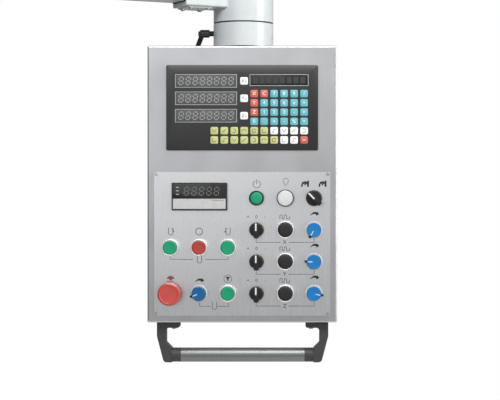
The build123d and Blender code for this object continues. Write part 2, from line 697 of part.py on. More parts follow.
def readout_membrane():
    """Printed keypad sheet with raised keys, open over the windows."""
    back = BOX_FRONT - READOUT_PLATE
    front = back - MEMBRANE
    sheet = slab_y(0, readout_middle(), READOUT_WIDTH, READOUT_HEIGHT, front, back, READOUT_CORNER)
    for (x, z), (width, height) in readout_windows():
        sheet -= Pos(x, (front + back) / 2, z) * Box(width, MEMBRANE, height)
    for (x, z), (width, height) in readout_keys():
        sheet += slab_y(x, z, width, height, front - KEY_RISE, front, KEY_CORNER)
    return sheet


def readout_window_panes():
    """Tinted panes flush with the front of the bezel."""
    front = BOX_FRONT - READOUT_PLATE
    panes = []
    for (x, z), (width, height) in readout_windows():
        lap = 2 * (WINDOW_LAP - PUSH_FIT)
        pane = Box(width + lap, WINDOW_THICKNESS, height + lap)
        panes.append(Pos(x, front + WINDOW_THICKNESS / 2, z) * pane)
    return panes


def readout_case():
    """Folded case behind the cut-out, open to the front."""
    inset = READOUT_CASE_INSET
    low = (READOUT_LEFT + inset, BOX_FRONT, -READOUT_TOP - READOUT_HEIGHT + inset)
    high = (-READOUT_LEFT - inset, BOX_FRONT + READOUT_CASE_DEPTH, -READOUT_TOP - inset)
    inner_low = (low[0] + CASE_WALL, low[1], low[2] + CASE_WALL)
    inner_high = (high[0] - CASE_WALL, high[1] - CASE_WALL, high[2] - CASE_WALL)
    return block(low, high) - block(inner_low, inner_high)


def readout_board():
    """Circuit board held in the case, with a display module behind each window."""
    margin = READOUT_CASE_INSET + CASE_WALL + PUSH_FIT
    board_front = BOX_FRONT + DISPLAY_DEPTH
    low = (READOUT_LEFT + margin, board_front, -READOUT_TOP - READOUT_HEIGHT + margin)
    high = (-READOUT_LEFT - margin, board_front + BOARD_THICKNESS, -READOUT_TOP - margin)
    parts = [block(low, high)]
    for (x, z), (width, height) in readout_windows():
        parts.append(Pos(x, BOX_FRONT + DISPLAY_DEPTH / 2, z) * Box(width, DISPLAY_DEPTH, height))
    return parts


# ---------------------------------------------------------------- control plate and its devices

def device_places():
    """Middle of every 22 mm device on the plate."""
    rows = BUTTONS + SELECTORS + KNOBS
    return [device_place(entry[1], entry[2]) for entry in rows] + [device_place(*STOP_PLACE)]


def control_plate():
    middle = -PLATE_TOP - PLATE_HEIGHT / 2
    plate = slab_y(0, middle, PLATE_WIDTH, PLATE_HEIGHT, PLATE_FACE, BOX_FRONT, 1.0)
    for x, z in device_places():
        plate -= disc_y(x, z, DEVICE_HOLE, PLATE_FACE, BOX_FRONT)
    for x, z in plate_screw_places():
        plate -= disc_y(x, z, SCREW_M3[0] + SCREW_CLEARANCE, PLATE_FACE, BOX_FRONT)
    x, down = METER_CENTRE
    cut_width, cut_height = (size + 2 * PUSH_FIT for size in METER_BODY)
    return plate - Pos(x, (PLATE_FACE + BOX_FRONT) / 2, -down) * Box(cut_width, PLATE_THICKNESS, cut_height)


def control_plate_screws():
    length = PLATE_THICKNESS + SHEET + 3
    return [Pos(x, PLATE_FACE, z) * Rot(X=90) * screw(SCREW_M3, length) for x, z in plate_screw_places()]


def device_tube(x, z, bore):
    """Barrel that passes through the plate behind a device."""
    back = PLATE_FACE + DEVICE_TUBE_LENGTH
    return disc_y(x, z, DEVICE_TUBE, PLATE_FACE, back) - disc_y(x, z, bore, PLATE_FACE, back)


def button_bezels():
    parts = []
    for name, column, row, ring, cap in BUTTONS:
        x, z = device_place(column, row)
        collar = disc_y(x, z, ring, PLATE_FACE - BEZEL_HEIGHT, PLATE_FACE)
        collar = chamfer(collar.edges().group_by(Axis.Y)[0], BEZEL_EDGE)
        collar -= disc_y(x, z, cap + AIR_GAP, PLATE_FACE - BEZEL_HEIGHT, PLATE_FACE - BEZEL_FLOOR)
        collar -= disc_y(x, z, STEM_RADIUS + AIR_GAP, PLATE_FACE - BEZEL_FLOOR, PLATE_FACE)
        parts.append(collar + device_tube(x, z, STEM_RADIUS + AIR_GAP))
    return parts


def push_button(column, row, cap):
    """Slightly domed cap on the stem that works the switch."""
    x, z = device_place(column, row)
    cap_back = PLATE_FACE - CAP_FRONT + CAP_DEPTH
    head = disc_y(x, z, cap, PLATE_FACE - CAP_FRONT, cap_back)
    head = fillet(head.edges().group_by(Axis.Y)[0], CAP_EDGE_RADIUS)
    return head + disc_y(x, z, STEM_RADIUS, cap_back, PLATE_FACE + DEVICE_TUBE_LENGTH)


def selector_bezels():
    parts = []
    for name, column, row, disc, angle in SELECTORS:
        x, z = device_place(column, row)
        collar = disc_y(x, z, disc, PLATE_FACE - SELECTOR_BEZEL, PLATE_FACE)
        collar -= disc_y(x, z, STEM_RADIUS + RUNNING, PLATE_FACE - SELECTOR_BEZEL, PLATE_FACE)
        parts.append(collar + device_tube(x, z, STEM_RADIUS + RUNNING))
    return parts


def selector(column, row, disc, angle):
    """Disc with a grip bar across it that overhangs into a pointed tail."""
    x, z = device_place(column, row)
    disc_back = -SELECTOR_BEZEL - AIR_GAP
    disc_front = disc_back - SELECTOR_DISC
    body = disc_y(0, 0, disc - AIR_GAP, disc_front, disc_back)
    body = chamfer(body.edges().group_by(Axis.Y)[0], BEZEL_EDGE)
    half = GRIP_WIDTH / 2
    tail = -disc - GRIP_OVERHANG
    outline = Polyline(
        (-half, tail + half), (0, tail), (half, tail + half), (half, disc), (-half, disc), close=True
    )
    grip = extrude(Rot(X=90) * make_face(outline), GRIP_RISE + SELECTOR_DISC, dir=(0, -1, 0))
    grip = chamfer(grip.edges().group_by(Axis.Y)[0], CAP_EDGE_RADIUS)
    body += Pos(0, disc_back, 0) * grip
    body += disc_y(0, 0, STEM_RADIUS, disc_back, DEVICE_TUBE_LENGTH)
    return Pos(x, PLATE_FACE, z) * Rot(Y=angle) * body


def knob_bezels():
    """White dial ring on a barrel that holds the potentiometer."""
    parts = []
    for name, column, row, angle in KNOBS:
        x, z = device_place(column, row)
        dial = disc_y(x, z, DIAL_RADIUS, PLATE_FACE - DIAL_HEIGHT, PLATE_FACE)
        dial -= disc_y(x, z, STEM_RADIUS, PLATE_FACE - DIAL_HEIGHT, PLATE_FACE)
        parts.append(dial + device_tube(x, z, STEM_RADIUS))
    return parts


def potentiometers():
    """Round bodies on the back of the dial barrels, bored for the knob shafts."""
    parts = []
    front = PLATE_FACE + DEVICE_TUBE_LENGTH
    for name, column, row, angle in KNOBS:
        x, z = device_place(column, row)
        body = disc_y(x, z, POT_RADIUS, front, front + POT_LENGTH)
        parts.append(body - disc_y(x, z, SHAFT_RADIUS + RUNNING, front, front + POT_LENGTH - POT_END))
    return parts


def knob(column, row, angle):
    """Cap with a pointer nub at its foot, on the potentiometer's shaft."""
    x, z = device_place(column, row)
    cap = disc_y(0, 0, KNOB_RADIUS, -KNOB_FRONT, -KNOB_BACK)
    cap = fillet(cap.edges().group_by(Axis.Y)[0], KNOB_EDGE)
    nub = block((-NUB_WIDTH / 2, -KNOB_BACK - NUB_HEIGHT, 0), (NUB_WIDTH / 2, -KNOB_BACK, NUB_REACH))
    shaft_end = DEVICE_TUBE_LENGTH + POT_LENGTH - 2 * POT_END
    shaft = disc_y(0, 0, SHAFT_RADIUS, -KNOB_BACK, shaft_end)
    return Pos(x, PLATE_FACE, z) * Rot(Y=angle) * (cap + nub + shaft)


def panel_nuts():
    parts = []
    back = BOX_FRONT + PANEL_NUT_HEIGHT
    for x, z in device_places():
        nut = disc_y(x, z, DEVICE_TUBE + PANEL_NUT_WALL, BOX_FRONT, back)
        parts.append(nut - disc_y(x, z, DEVICE_TUBE + THREAD_FIT, BOX_FRONT, back))
    return parts


def switch_places():
    """The devices that work contacts: buttons, selectors and the emergency stop."""
    rows = BUTTONS + SELECTORS
    return [device_place(entry[1], entry[2]) for entry in rows] + [device_place(*STOP_PLACE)]


def contact_blocks():
    """Contact block with a collar that grips the device's barrel."""
    width, height, depth = BLOCK_SIZE
    tube_back = PLATE_FACE + DEVICE_TUBE_LENGTH
    collar_front = BOX_FRONT + PANEL_NUT_HEIGHT
    collar_back = tube_back + STOP_TRAVEL + PLUNGER_ROOM
    parts = []
    for x, z in switch_places():
        collar = disc_y(x, z, DEVICE_TUBE + COLLAR_WALL, collar_front, collar_back)
        collar -= disc_y(x, z, DEVICE_TUBE + THREAD_FIT, collar_front, collar_back)
        body = Pos(x, collar_back + depth / 2, z) * Box(width, depth, height)
        parts.append(collar + fillet(body.edges().filter_by(Axis.Y), BLOCK_EDGE))
    return parts


# ---------------------------------------------------------------- emergency stop

def estop_base():
    x, z = device_place(*STOP_PLACE)
    base = disc_y(x, z, STOP_BASE_RADIUS, PLATE_FACE - STOP_BASE_HEIGHT, PLATE_FACE)
    base = chamfer(base.edges().group_by(Axis.Y)[0], CAP_EDGE_RADIUS)
    base -= disc_y(x, z, PLUNGER_RADIUS + RUNNING, PLATE_FACE - STOP_BASE_HEIGHT, PLATE_FACE)
    return base + device_tube(x, z, PLUNGER_RADIUS + RUNNING)


def estop_plunger():
    x, z = device_place(*STOP_PLACE)
    shoulder = PLATE_FACE - STOP_BASE_HEIGHT - STOP_TRAVEL
    body = disc_y(x, z, PLUNGER_RADIUS, shoulder, PLATE_FACE + DEVICE_TUBE_LENGTH)
    return body + disc_y(x, z, SPIGOT_RADIUS, shoulder - SPIGOT_HEIGHT, shoulder)


def estop_head():
    """Mushroom head with a rim, turning on the plunger's spigot."""
    x, z = device_place(*STOP_PLACE)
    shoulder = PLATE_FACE - STOP_BASE_HEIGHT - STOP_TRAVEL
    neck_back = shoulder - AIR_GAP
    dome = disc_y(x, z, STOP_HEAD_RADIUS, PLATE_FACE - STOP_HEAD_FRONT, PLATE_FACE - STOP_HEAD_BACK)
    dome = fillet(dome.edges().group_by(Axis.Y)[0], STOP_HEAD_EDGE)
    head = dome + disc_y(x, z, STOP_NECK, PLATE_FACE - STOP_HEAD_BACK, neck_back)
    socket_end = shoulder - SPIGOT_HEIGHT - AIR_GAP
    return head - disc_y(x, z, SPIGOT_RADIUS + RUNNING, socket_end, neck_back)


# ---------------------------------------------------------------- tachometer

def meter_levels():
    """Heights of the bezel's opening, of the window's foot and of the flap's hinge."""
    top = -METER_CENTRE[1] + METER_SIZE[1] / 2 - METER_RIM
    bottom = top - METER_SIZE[1] + 2 * METER_RIM
    hinge = bottom + AIR_GAP + FLAP_THICKNESS / 2
    return top, top - METER_WINDOW_HEIGHT, bottom, hinge


def meter_case():
    """Bezel in front of the plate and a hollow body behind it."""
    x, down = METER_CENTRE
    width, height = METER_SIZE
    front = PLATE_FACE - METER_BEZEL
    body_width, body_height = METER_BODY
    top, window_foot, bottom, hinge = meter_levels()
    body = slab_y(x, -down, width, height, front, PLATE_FACE, METER_CORNER)
    body += Pos(x, PLATE_FACE + METER_DEPTH / 2, -down) * Box(body_width, METER_DEPTH, body_height)
    inner_x = body_width / 2 - METER_WALL
    inner_z = body_height / 2 - METER_WALL
    back = PLATE_FACE + METER_DEPTH - METER_WALL
    body -= block(
        (x - inner_x, PLATE_FACE - METER_FRONT_SPACE, -down - inner_z), (x + inner_x, back, -down + inner_z)
    )
    half = width / 2 - METER_RIM
    side_ledge, end_ledge = METER_LEDGE
    body -= block((x - half, front, window_foot), (x + half, front + METER_WINDOW_THICKNESS, top))
    body -= block(
        (x - half + side_ledge, front, window_foot + end_ledge),
        (x + half - side_ledge, PLATE_FACE, top - end_ledge),
    )
    flap_back = front + FLAP_THICKNESS + 2 * AIR_GAP
    body -= block((x - half, front, bottom), (x + half, flap_back, window_foot))
    for side in (-1, 1):
        pin_x = x + side * half
        reach = FLAP_PIN[1] + AIR_GAP
        low, high = sorted((pin_x, pin_x + side * reach))
        body -= disc_x(front + FLAP_THICKNESS / 2, hinge, FLAP_PIN[0] + RUNNING, low, high)
    return body


def meter_window():
    x = METER_CENTRE[0]
    front = PLATE_FACE - METER_BEZEL
    top, window_foot, bottom, hinge = meter_levels()
    half = METER_SIZE[0] / 2 - METER_RIM - PUSH_FIT
    back = front + METER_WINDOW_THICKNESS
    return block((x - half, front, window_foot + PUSH_FIT), (x + half, back, top - PUSH_FIT))


def meter_flap():
    """Cover over the setting keys, with hinge pins at its foot and a finger tab at its top."""
    x = METER_CENTRE[0]
    front = PLATE_FACE - METER_BEZEL
    top, window_foot, bottom, hinge = meter_levels()
    half = METER_SIZE[0] / 2 - METER_RIM - AIR_GAP
    middle = front + FLAP_THICKNESS / 2
    flap = block((x - half, front, hinge), (x + half, front + FLAP_THICKNESS, window_foot - AIR_GAP))
    flap += disc_x(middle, hinge, FLAP_THICKNESS / 2, x - half, x + half)
    flap += disc_x(middle, hinge, FLAP_PIN[0], x - half - FLAP_PIN[1], x + half + FLAP_PIN[1])
    tab_top = window_foot - AIR_GAP
    tab_width, tab_height, tab_rise = FLAP_TAB
    tab_right = x + half - FLAP_TAB_INSET
    low = (tab_right - tab_width, front - tab_rise, tab_top - tab_height)
    return flap + block(low, (tab_right, front, tab_top))


def meter_clips():
    """Spring clips that draw the meter against the plate from behind."""
    x, down = METER_CENTRE
    width, height, depth = CLIP_SIZE
    offset = METER_BODY[1] / 2 + height / 2
    return [
        Pos(x, BOX_FRONT + depth / 2, -down + side * offset) * Box(width, depth, height)
        for side in (-1, 1)
    ]


def meter_display():
    """Digit module and board inside the meter."""
    x, down = METER_CENTRE
    top, window_foot, bottom, hinge = meter_levels()
    front = PLATE_FACE - METER_BEZEL + METER_WINDOW_THICKNESS
    margin_x, margin_z = METER_MODULE_MARGIN
    half = METER_SIZE[0] / 2 - METER_RIM - margin_x
    module = block((x - half, front, window_foot + margin_z), (x + half, PLATE_FACE, top - margin_z))
    half_x, half_z = (size / 2 - METER_WALL - PUSH_FIT for size in METER_BODY)
    back = PLATE_FACE + METER_BOARD
    return [module, block((x - half_x, PLATE_FACE, -down - half_z), (x + half_x, back, -down + half_z))]


# ---------------------------------------------------------------- handle

def handle_bracket(side):
    """Cast bracket: flange under the box, slanted leg and a round socket for the tube."""
    top = -BOX_HEIGHT
    bottom = top - HANDLE_DROP
    inner = HANDLE_OUTER - HANDLE_LEG
    foot_inner = HANDLE_FOOT - HANDLE_FOOT_LEG
    outline = Polyline(
        (HANDLE_FLANGE_INNER, top),
        (HANDLE_OUTER, top),
        (HANDLE_OUTER, top - HANDLE_SHOULDER),
        (HANDLE_FOOT, bottom),
        (foot_inner, bottom),
        (foot_inner, bottom + 2 * GRIP_TUBE_RADIUS),
        (inner, bottom + 2 * GRIP_TUBE_RADIUS + HANDLE_KNEE),
        (inner, top - HANDLE_FLANGE),
        (HANDLE_FLANGE_INNER, top - HANDLE_FLANGE),
        close=True,
    )
    leg = extrude(Pos(0, HANDLE_WIDTH / 2, 0) * Rot(X=90) * make_face(outline), HANDLE_WIDTH, dir=(0, -1, 0))
    flange_foot = top - HANDLE_FLANGE
    bends = [(HANDLE_FOOT, 0, bottom), (inner, 0, flange_foot), (HANDLE_FLANGE_INNER, 0, flange_foot)]
    for bend, radius in zip(bends, HANDLE_FILLETS):
        leg = fillet(leg.edges().filter_by(Axis.Y).sort_by_distance(bend)[0], radius)
    leg += disc_x(0, GRIP_TUBE_Z, GRIP_TUBE_RADIUS, GRIP_TUBE_HALF, foot_inner + SOCKET_OVERLAP)
    spigot = GRIP_TUBE_RADIUS - GRIP_TUBE_WALL - PUSH_FIT
    leg += disc_x(0, GRIP_TUBE_Z, spigot, GRIP_TUBE_HALF - SPIGOT_LENGTH, GRIP_TUBE_HALF)
    for spread in (-HANDLE_SCREW_SPREAD, HANDLE_SCREW_SPREAD):
        hole = SCREW_M5[0] + SCREW_CLEARANCE
        leg -= disc_z(HANDLE_SCREW_X, spread, hole, flange_foot, top)
        sink = SCREW_M5[1] + SCREW_CLEARANCE
        leg -= disc_z(HANDLE_SCREW_X, spread, sink, flange_foot, flange_foot + HANDLE_SINK)
    if side < 0:
        leg = mirror(leg, about=Plane.YZ)
    return Pos(0, HANDLE_Y, 0) * leg


def handle_tube():
    length = 2 * GRIP_TUBE_HALF
    tube = Cylinder(GRIP_TUBE_RADIUS, length) - Cylinder(GRIP_TUBE_RADIUS - GRIP_TUBE_WALL, length)
    return Pos(0, HANDLE_Y, GRIP_TUBE_Z) * Rot(Y=90) * tube


def handle_screws():
    """Screws up through the brackets, each with a nut inside the box."""
    parts = []
    seat = -BOX_HEIGHT - HANDLE_FLANGE + HANDLE_SINK
    inside = -BOX_HEIGHT + SHEET
    nut_radius, nut_height = NUT_M5
    length = inside + nut_height + 2 * SCREW_SHORT_OF_END - seat
    for x, y in handle_screw_places():
        parts.append(Pos(x, y, seat) * Rot(X=180) * screw(SCREW_M5, length))
        nut = extrude(Pos(x, y, inside) * RegularPolygon(nut_radius, 6), nut_height)
        parts.append(nut - disc_z(x, y, SCREW_M5[0] + THREAD_FIT, inside, inside + nut_height))
    return parts


# ---------------------------------------------------------------- nodes

def all_nodes():
    nodes = {
        "arm_tube": arm_tube(),
        "arm_end_flange": arm_end_flange(),
        "arm_gasket": arm_gasket(),
        "elbow_housing": elbow_housing(),
        "elbow_cover_plate": elbow_cover_plate(),
        "elbow_cap": elbow_cap(),
        "elbow_screws": elbow_screws(),
        "swivel_spindle": swivel_spindle(),
        "spindle_nut": spindle_nut(),
        "swivel_bush": swivel_bush(),
        "swivel_hub": swivel_hub(),
        "hub_gasket": hub_gasket(),
        "clamp_screw": clamp_screw(),
        "clamp_pad": clamp_pad(),
        "clamp_handle": clamp_handle(),
        "enclosure": enclosure(),
        "rear_gasket": rear_gasket(),
        "rear_cover": rear_cover(),
        "rear_cover_screws": rear_cover_screws(),
        "readout_bezel": readout_bezel(),
        "readout_membrane": readout_membrane(),
        "readout_window_panes": readout_window_panes(),
        "readout_case": readout_case(),
        "readout_board": readout_board(),
        "control_plate": control_plate(),
        "control_plate_screws": control_plate_screws(),
        "button_bezels": button_bezels(),
        "selector_bezels": selector_bezels(),
        "knob_bezels": knob_bezels(),
        "potentiometers": potentiometers(),
        "panel_nuts": panel_nuts(),
        "contact_blocks": contact_blocks(),
        "estop_base": estop_base(),
        "estop_plunger": estop_plunger(),
        "estop_head": estop_head(),
        "meter_case": meter_case(),
        "meter_window": meter_window(),
        "meter_flap": meter_flap(),
        "meter_display": meter_display(),
        "meter_clips": meter_clips(),
        "handle_brackets": [handle_bracket(-1), handle_bracket(1)],
        "handle_tube": handle_tube(),
        "box_screws": hub_screws() + handle_screws(),
    }
    for name, column, row, ring, cap in BUTTONS:
        nodes[name] = push_button(column, row, cap)
    for name, column, row, disc, angle in SELECTORS:
        nodes[name] = selector(column, row, disc, angle)
    for name, column, row, angle in KNOBS:
        nodes[name] = knob(column, row, angle)
    return nodes


def to_row_frame(part):
    """Move the origin to the middle of the arm flange's outer face."""
    flange = on_arm(Pos(-ARM_REACH, 0, TUBE_MIDDLE)).position
    return Pos(-flange.X, -flange.Y, -flange.Z) * part


os.makedirs("parts", exist_ok=True)
for node, shape in all_nodes().items():
    if isinstance(shape, list):
        shape = Compound(children=shape)
    export_step(to_row_frame(shape), f"parts/{node}.step")
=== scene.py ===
import json
from math import atan2, cos, pi, radians, sin, tan

import bpy
from bpy.props import FloatProperty, FloatVectorProperty, IntProperty, PointerProperty
from mathutils import Matrix, Vector


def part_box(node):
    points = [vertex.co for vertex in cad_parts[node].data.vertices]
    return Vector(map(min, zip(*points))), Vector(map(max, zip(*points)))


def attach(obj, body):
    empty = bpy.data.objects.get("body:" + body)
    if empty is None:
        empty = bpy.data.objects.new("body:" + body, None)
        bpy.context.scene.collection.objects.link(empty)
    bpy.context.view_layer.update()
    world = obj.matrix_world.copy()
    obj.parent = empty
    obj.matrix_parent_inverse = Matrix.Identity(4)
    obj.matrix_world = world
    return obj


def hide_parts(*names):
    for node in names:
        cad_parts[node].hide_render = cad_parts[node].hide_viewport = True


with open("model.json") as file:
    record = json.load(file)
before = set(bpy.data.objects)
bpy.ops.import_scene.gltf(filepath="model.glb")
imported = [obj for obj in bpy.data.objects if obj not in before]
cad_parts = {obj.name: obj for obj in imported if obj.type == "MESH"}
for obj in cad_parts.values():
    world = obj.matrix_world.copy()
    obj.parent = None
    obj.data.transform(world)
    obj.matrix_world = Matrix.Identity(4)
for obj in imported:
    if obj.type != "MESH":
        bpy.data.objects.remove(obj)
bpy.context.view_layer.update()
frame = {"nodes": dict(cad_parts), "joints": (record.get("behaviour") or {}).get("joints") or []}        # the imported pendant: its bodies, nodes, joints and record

# A hanging operator pendant: a brushed steel box with a position readout, a control plate and a grab
# handle, turning on a hub at the end of a cable arm. Pieces are in metres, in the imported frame; numbers
# before * MM, in profiles and in outlines are millimetres.
bl_info = {
    "name": "Operator pendant",
    "version": (1, 0, 0),
    "blender": (4, 5, 0),
    "location": "3D View > Sidebar > Pendant",
    "description": "Dresses the packed operator pendant with detailed pieces and finishes",
    "category": "Object",
}

MM = 0.001

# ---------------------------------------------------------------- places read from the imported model


def low(node):
    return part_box(node)[0]


def high(node):
    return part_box(node)[1]


def middle(node):
    return (low(node) + high(node)) / 2


BOX_TOP = high("enclosure").z
BOX_FRONT = low("enclosure").y
PLATE_FACE = low("control_plate").y
CENTRE_X = middle("enclosure").x
BUTTONS = [name for name in frame["nodes"] if name.endswith("_button")]
SELECTORS = [name for name in frame["nodes"] if name.endswith("_selector")]
KNOBS = [name for name in frame["nodes"] if name.endswith("_knob")]

# The devices, in millimetres
DEVICE_BARREL = 11.0     # radius of the threaded barrel
BARREL_BACK = -16.0      # back end of the modelled barrels and stems, behind the plate's face
STEM = 8.0               # radius of a cap's stem
STEM_BORE = 8.05         # bore in the ring round it
LINE_RISE = 0.15         # thickness of a pointer line


def joint_place(body):
    """Point on the hinge axis of a body, or the middle of its node where it slides."""
    joint = next(j for j in frame["joints"] if j["child"] == body)
    return Vector(joint["pos_m"]) if "pos_m" in joint else middle(body)


# ---------------------------------------------------------------- modelling helpers


def linear(code):
    """sRGB hex value to a linear colour with full alpha."""
    channels = [int(code[i : i + 2], 16) / 255 for i in (1, 3, 5)]
    return tuple(c / 12.92 if c <= 0.04045 else ((c + 0.055) / 1.055) ** 2.4 for c in channels) + (1.0,)


def select_only(*pieces):
    """Select pieces and nothing else, the first as the active one."""
    bpy.ops.object.select_all(action="DESELECT")
    for piece in pieces:
        piece.select_set(True)
    bpy.context.view_layer.objects.active = pieces[0]


def edit(piece, kind="FACE"):
    """Open a piece in edit mode with nothing selected."""
    select_only(piece)
    bpy.ops.object.mode_set(mode="EDIT")
    bpy.ops.mesh.select_mode(type=kind)
    bpy.ops.mesh.select_all(action="DESELECT")


def close_edit():
    bpy.ops.object.mode_set(mode="OBJECT")


def pick_faces(piece, test):
    """Open a piece in edit mode with the faces selected whose centre and normal pass the test."""
    edit(piece, "FACE")
    close_edit()
    for face in piece.data.polygons:
        face.select = bool(test(face.center, face.normal))
    bpy.ops.object.mode_set(mode="EDIT")


def pick_edges(piece, test):
    """Open a piece in edit mode with the edges selected whose two ends pass the test."""
    edit(piece, "EDGE")
    close_edit()
    points = piece.data.vertices
    for edge in piece.data.edges:
        a, b = (points[i].co for i in edge.vertices)
        edge.select = bool(test(a, b))
    bpy.ops.object.mode_set(mode="EDIT")


def apply_place(piece):
    """Put the place, turn and scale into the mesh, so the object sits at the origin."""
    select_only(piece)
    bpy.ops.object.transform_apply(location=True, rotation=True, scale=True)


TO_FRONT = Matrix.Rotation(pi / 2, 4, "X")
TO_LEFT = Matrix.Rotation(-pi / 2, 4, "Y")


def place_piece(piece, place, spin=0.0, facing=TO_FRONT):
    """Spin a piece made along Z about its own axis, turn it to its facing and set it down."""
    piece.matrix_world = Matrix.Translation(place) @ facing @ Matrix.Rotation(spin, 4, "Z")
    apply_place(piece)
    return piece


def join(pieces, name):
    """Join several pieces into the first."""
    select_only(*pieces)
    if len(pieces) > 1:
        bpy.ops.object.join()
    pieces[0].name = name
    return pieces[0]


def copy_piece(piece, name):
    """Copy with a mesh of its own."""
    twin = piece.copy()
    twin.data = piece.data.copy()
    twin.name = name
    bpy.context.scene.collection.objects.link(twin)
    return twin


def apply_modifier(piece, kind, **settings):
    modifier = piece.modifiers.new(kind.title(), kind)
    for key, value in settings.items():
        setattr(modifier, key, value)
    select_only(piece)
    bpy.ops.object.modifier_apply(modifier=modifier.name)


def soften(piece, width, segments=3, angle=30.0):
    """Round the sharp edges of a piece."""
    apply_modifier(
        piece, "BEVEL", width=width, segments=segments, limit_method="ANGLE", angle_limit=radians(angle)
    )


SMOOTH_ANGLE = radians(35)


def finish_piece(piece, name, body, material=None, replaces=()):
    """Name a piece, smooth it, paint it and set it to ride on its body."""
    apply_place(piece)
    bpy.ops.object.shade_smooth_by_angle(angle=SMOOTH_ANGLE)
    piece.name = name
    if material is not None:
        piece.data.materials.clear()
        piece.data.materials.append(material)
    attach(piece, body)
    if replaces:
        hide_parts(*replaces)
    return piece


def finish_fixed(pieces, name, material=None, replaces=()):
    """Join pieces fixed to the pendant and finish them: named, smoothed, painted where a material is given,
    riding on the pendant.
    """
    return finish_piece(join(pieces, name), name, "pendant", material, replaces)


def dress(node, material):
    """Give a carried-over node its finish."""
    piece = frame["nodes"][node]
    piece.data.materials.clear()
    piece.data.materials.append(material)


def rounded(profile, radius, steps=4):
    """Round each inner corner of a profile of (radius, height) pairs."""
    points = [Vector(p) for p in profile]
    result = [points[0]]
    for before, corner, after in zip(points, points[1:], points[2:]):
        to_before = before - corner
        to_after = after - corner
        turn = to_before.angle(to_after, pi)
        cut = radius / tan(turn / 2) if turn < pi - 0.01 else 0.0
        cut = min(cut, 0.45 * to_before.length, 0.45 * to_after.length)
        if cut < 1e-6:
            result.append(corner)
            continue
        start = corner + to_before.normalized() * cut
        end = corner + to_after.normalized() * cut
        for i in range(steps + 1):
            t = i / steps
            result.append((1 - t) ** 2 * start + 2 * t * (1 - t) * corner + t * t * end)
    return result + [points[-1]]


def turned(profile, steps=64):
    """Spin a profile of (radius, height) pairs in millimetres about Z into a closed round piece."""
    bpy.ops.object.select_all(action="DESELECT")
    bpy.ops.mesh.primitive_plane_add(size=MM)
    piece = bpy.context.object
    bpy.ops.object.mode_set(mode="EDIT")
    bpy.ops.mesh.select_mode(type="VERT")
    bpy.ops.mesh.select_all(action="SELECT")
    bpy.ops.mesh.merge(type="CENTER")
    here = Vector((0, 0, 0))
    for number, (radius, height) in enumerate(profile):
        there = Vector((radius * MM, 0, height * MM))
        if number == 0:
            bpy.ops.transform.translate(value=there)
        else:
            bpy.ops.mesh.extrude_vertices_move(TRANSFORM_OT_translate={"value": there - here})
        here = there
    bpy.ops.mesh.select_all(action="SELECT")
    bpy.ops.mesh.spin(steps=steps, angle=2 * pi, center=(0, 0, 0), axis=(0, 0, 1))
    bpy.ops.mesh.select_all(action="SELECT")
    bpy.ops.mesh.remove_doubles(threshold=2e-6)
    bpy.ops.mesh.normals_make_consistent(inside=False)
    close_edit()
    return piece


def slab(width, height, depth, corner=0.0, edge=0.0, steps=5):
    """Plate from z = 0 up to its depth, with round corners and a softened upper rim."""
    bpy.ops.object.select_all(action="DESELECT")
    bpy.ops.mesh.primitive_cube_add(size=1, location=(0, 0, depth / 2), scale=(width, height, depth))
    piece = bpy.context.object
    apply_place(piece)
    if corner:
        pick_edges(piece, lambda a, b: abs(a.z - b.z) > depth / 2)
        bpy.ops.mesh.bevel(offset=corner, segments=steps, affect="EDGES")
        close_edit()
    if edge:
        pick_faces(piece, lambda centre, normal: normal.z > 0.9)
        bpy.ops.mesh.bevel(offset=edge, segments=2, affect="EDGES")
        close_edit()
    return piece


def bar(width, length, height, corner, edge, place):
    """Slab with its sizes and the middle of its underside in millimetres."""
    piece = slab(width * MM, length * MM, height * MM, corner * MM, edge * MM)
    piece.location = Vector(place) * MM
    apply_place(piece)
    return piece


# ---------------------------------------------------------------- finishes


def add(tree, kind, settings=None, links=None):
    """Add a node with its settings and the links into it."""
    node = tree.nodes.new(kind)
    for key, value in (settings or {}).items():
        if isinstance(key, int) or key in node.inputs:
            node.inputs[key].default_value = value
        else:
            setattr(node, key, value)
    for key, source in (links or {}).items():
        tree.links.new(source, node.inputs[key])
    return node


def finish(name, base, roughness, metallic=0.0, **sockets):
    """A finish with constant values on the shader, and its tree to add a pattern to."""
    material = bpy.data.materials.new(name)
    material.use_nodes = True
    tree = material.node_tree
    shader = tree.nodes["Principled BSDF"]
    shader.inputs["Base Color"].default_value = base
    shader.inputs["Roughness"].default_value = roughness
    shader.inputs["Metallic"].default_value = metallic
    for key, value in sockets.items():
        shader.inputs[key.replace("_", " ")].default_value = value
    return material, tree, shader


def object_pattern(tree, period, stretch=(1, 1, 1), detail=3.0):
    """Noise in object space whose grains are about a period across, longer where stretch is over 1."""
    place = add(tree, "ShaderNodeTexCoord").outputs["Object"]
    scale = tuple(1 / (period * s) for s in stretch)
    mapping = add(tree, "ShaderNodeMapping", {"Scale": scale}, {"Vector": place})
    noise = add(
        tree, "ShaderNodeTexNoise", {"Scale": 1.0, "Detail": detail}, {"Vector": mapping.outputs["Vector"]}
    )
    return noise.outputs["Fac"]


def vary_roughness(tree, shader, fac, least, most):
    """Let a pattern move the roughness between two values."""
    ends = {"From Min": 0.3, "From Max": 0.7, "To Min": least, "To Max": most}
    span = add(tree, "ShaderNodeMapRange", ends, {"Value": fac})
    tree.links.new(span.outputs["Result"], shader.inputs["Roughness"])


def vary_colour(tree, shader, fac, dark, light, most=0.7):
    """Let a pattern move the colour between two colours."""
    span = add(tree, "ShaderNodeMapRange", {"From Min": 0.3, "From Max": most}, {"Value": fac})
    ends = {"data_type": "RGBA", 6: dark, 7: light}
    blend = add(tree, "ShaderNodeMix", ends, {"Factor": span.outputs["Result"]})
    tree.links.new(blend.outputs[2], shader.inputs["Base Color"])


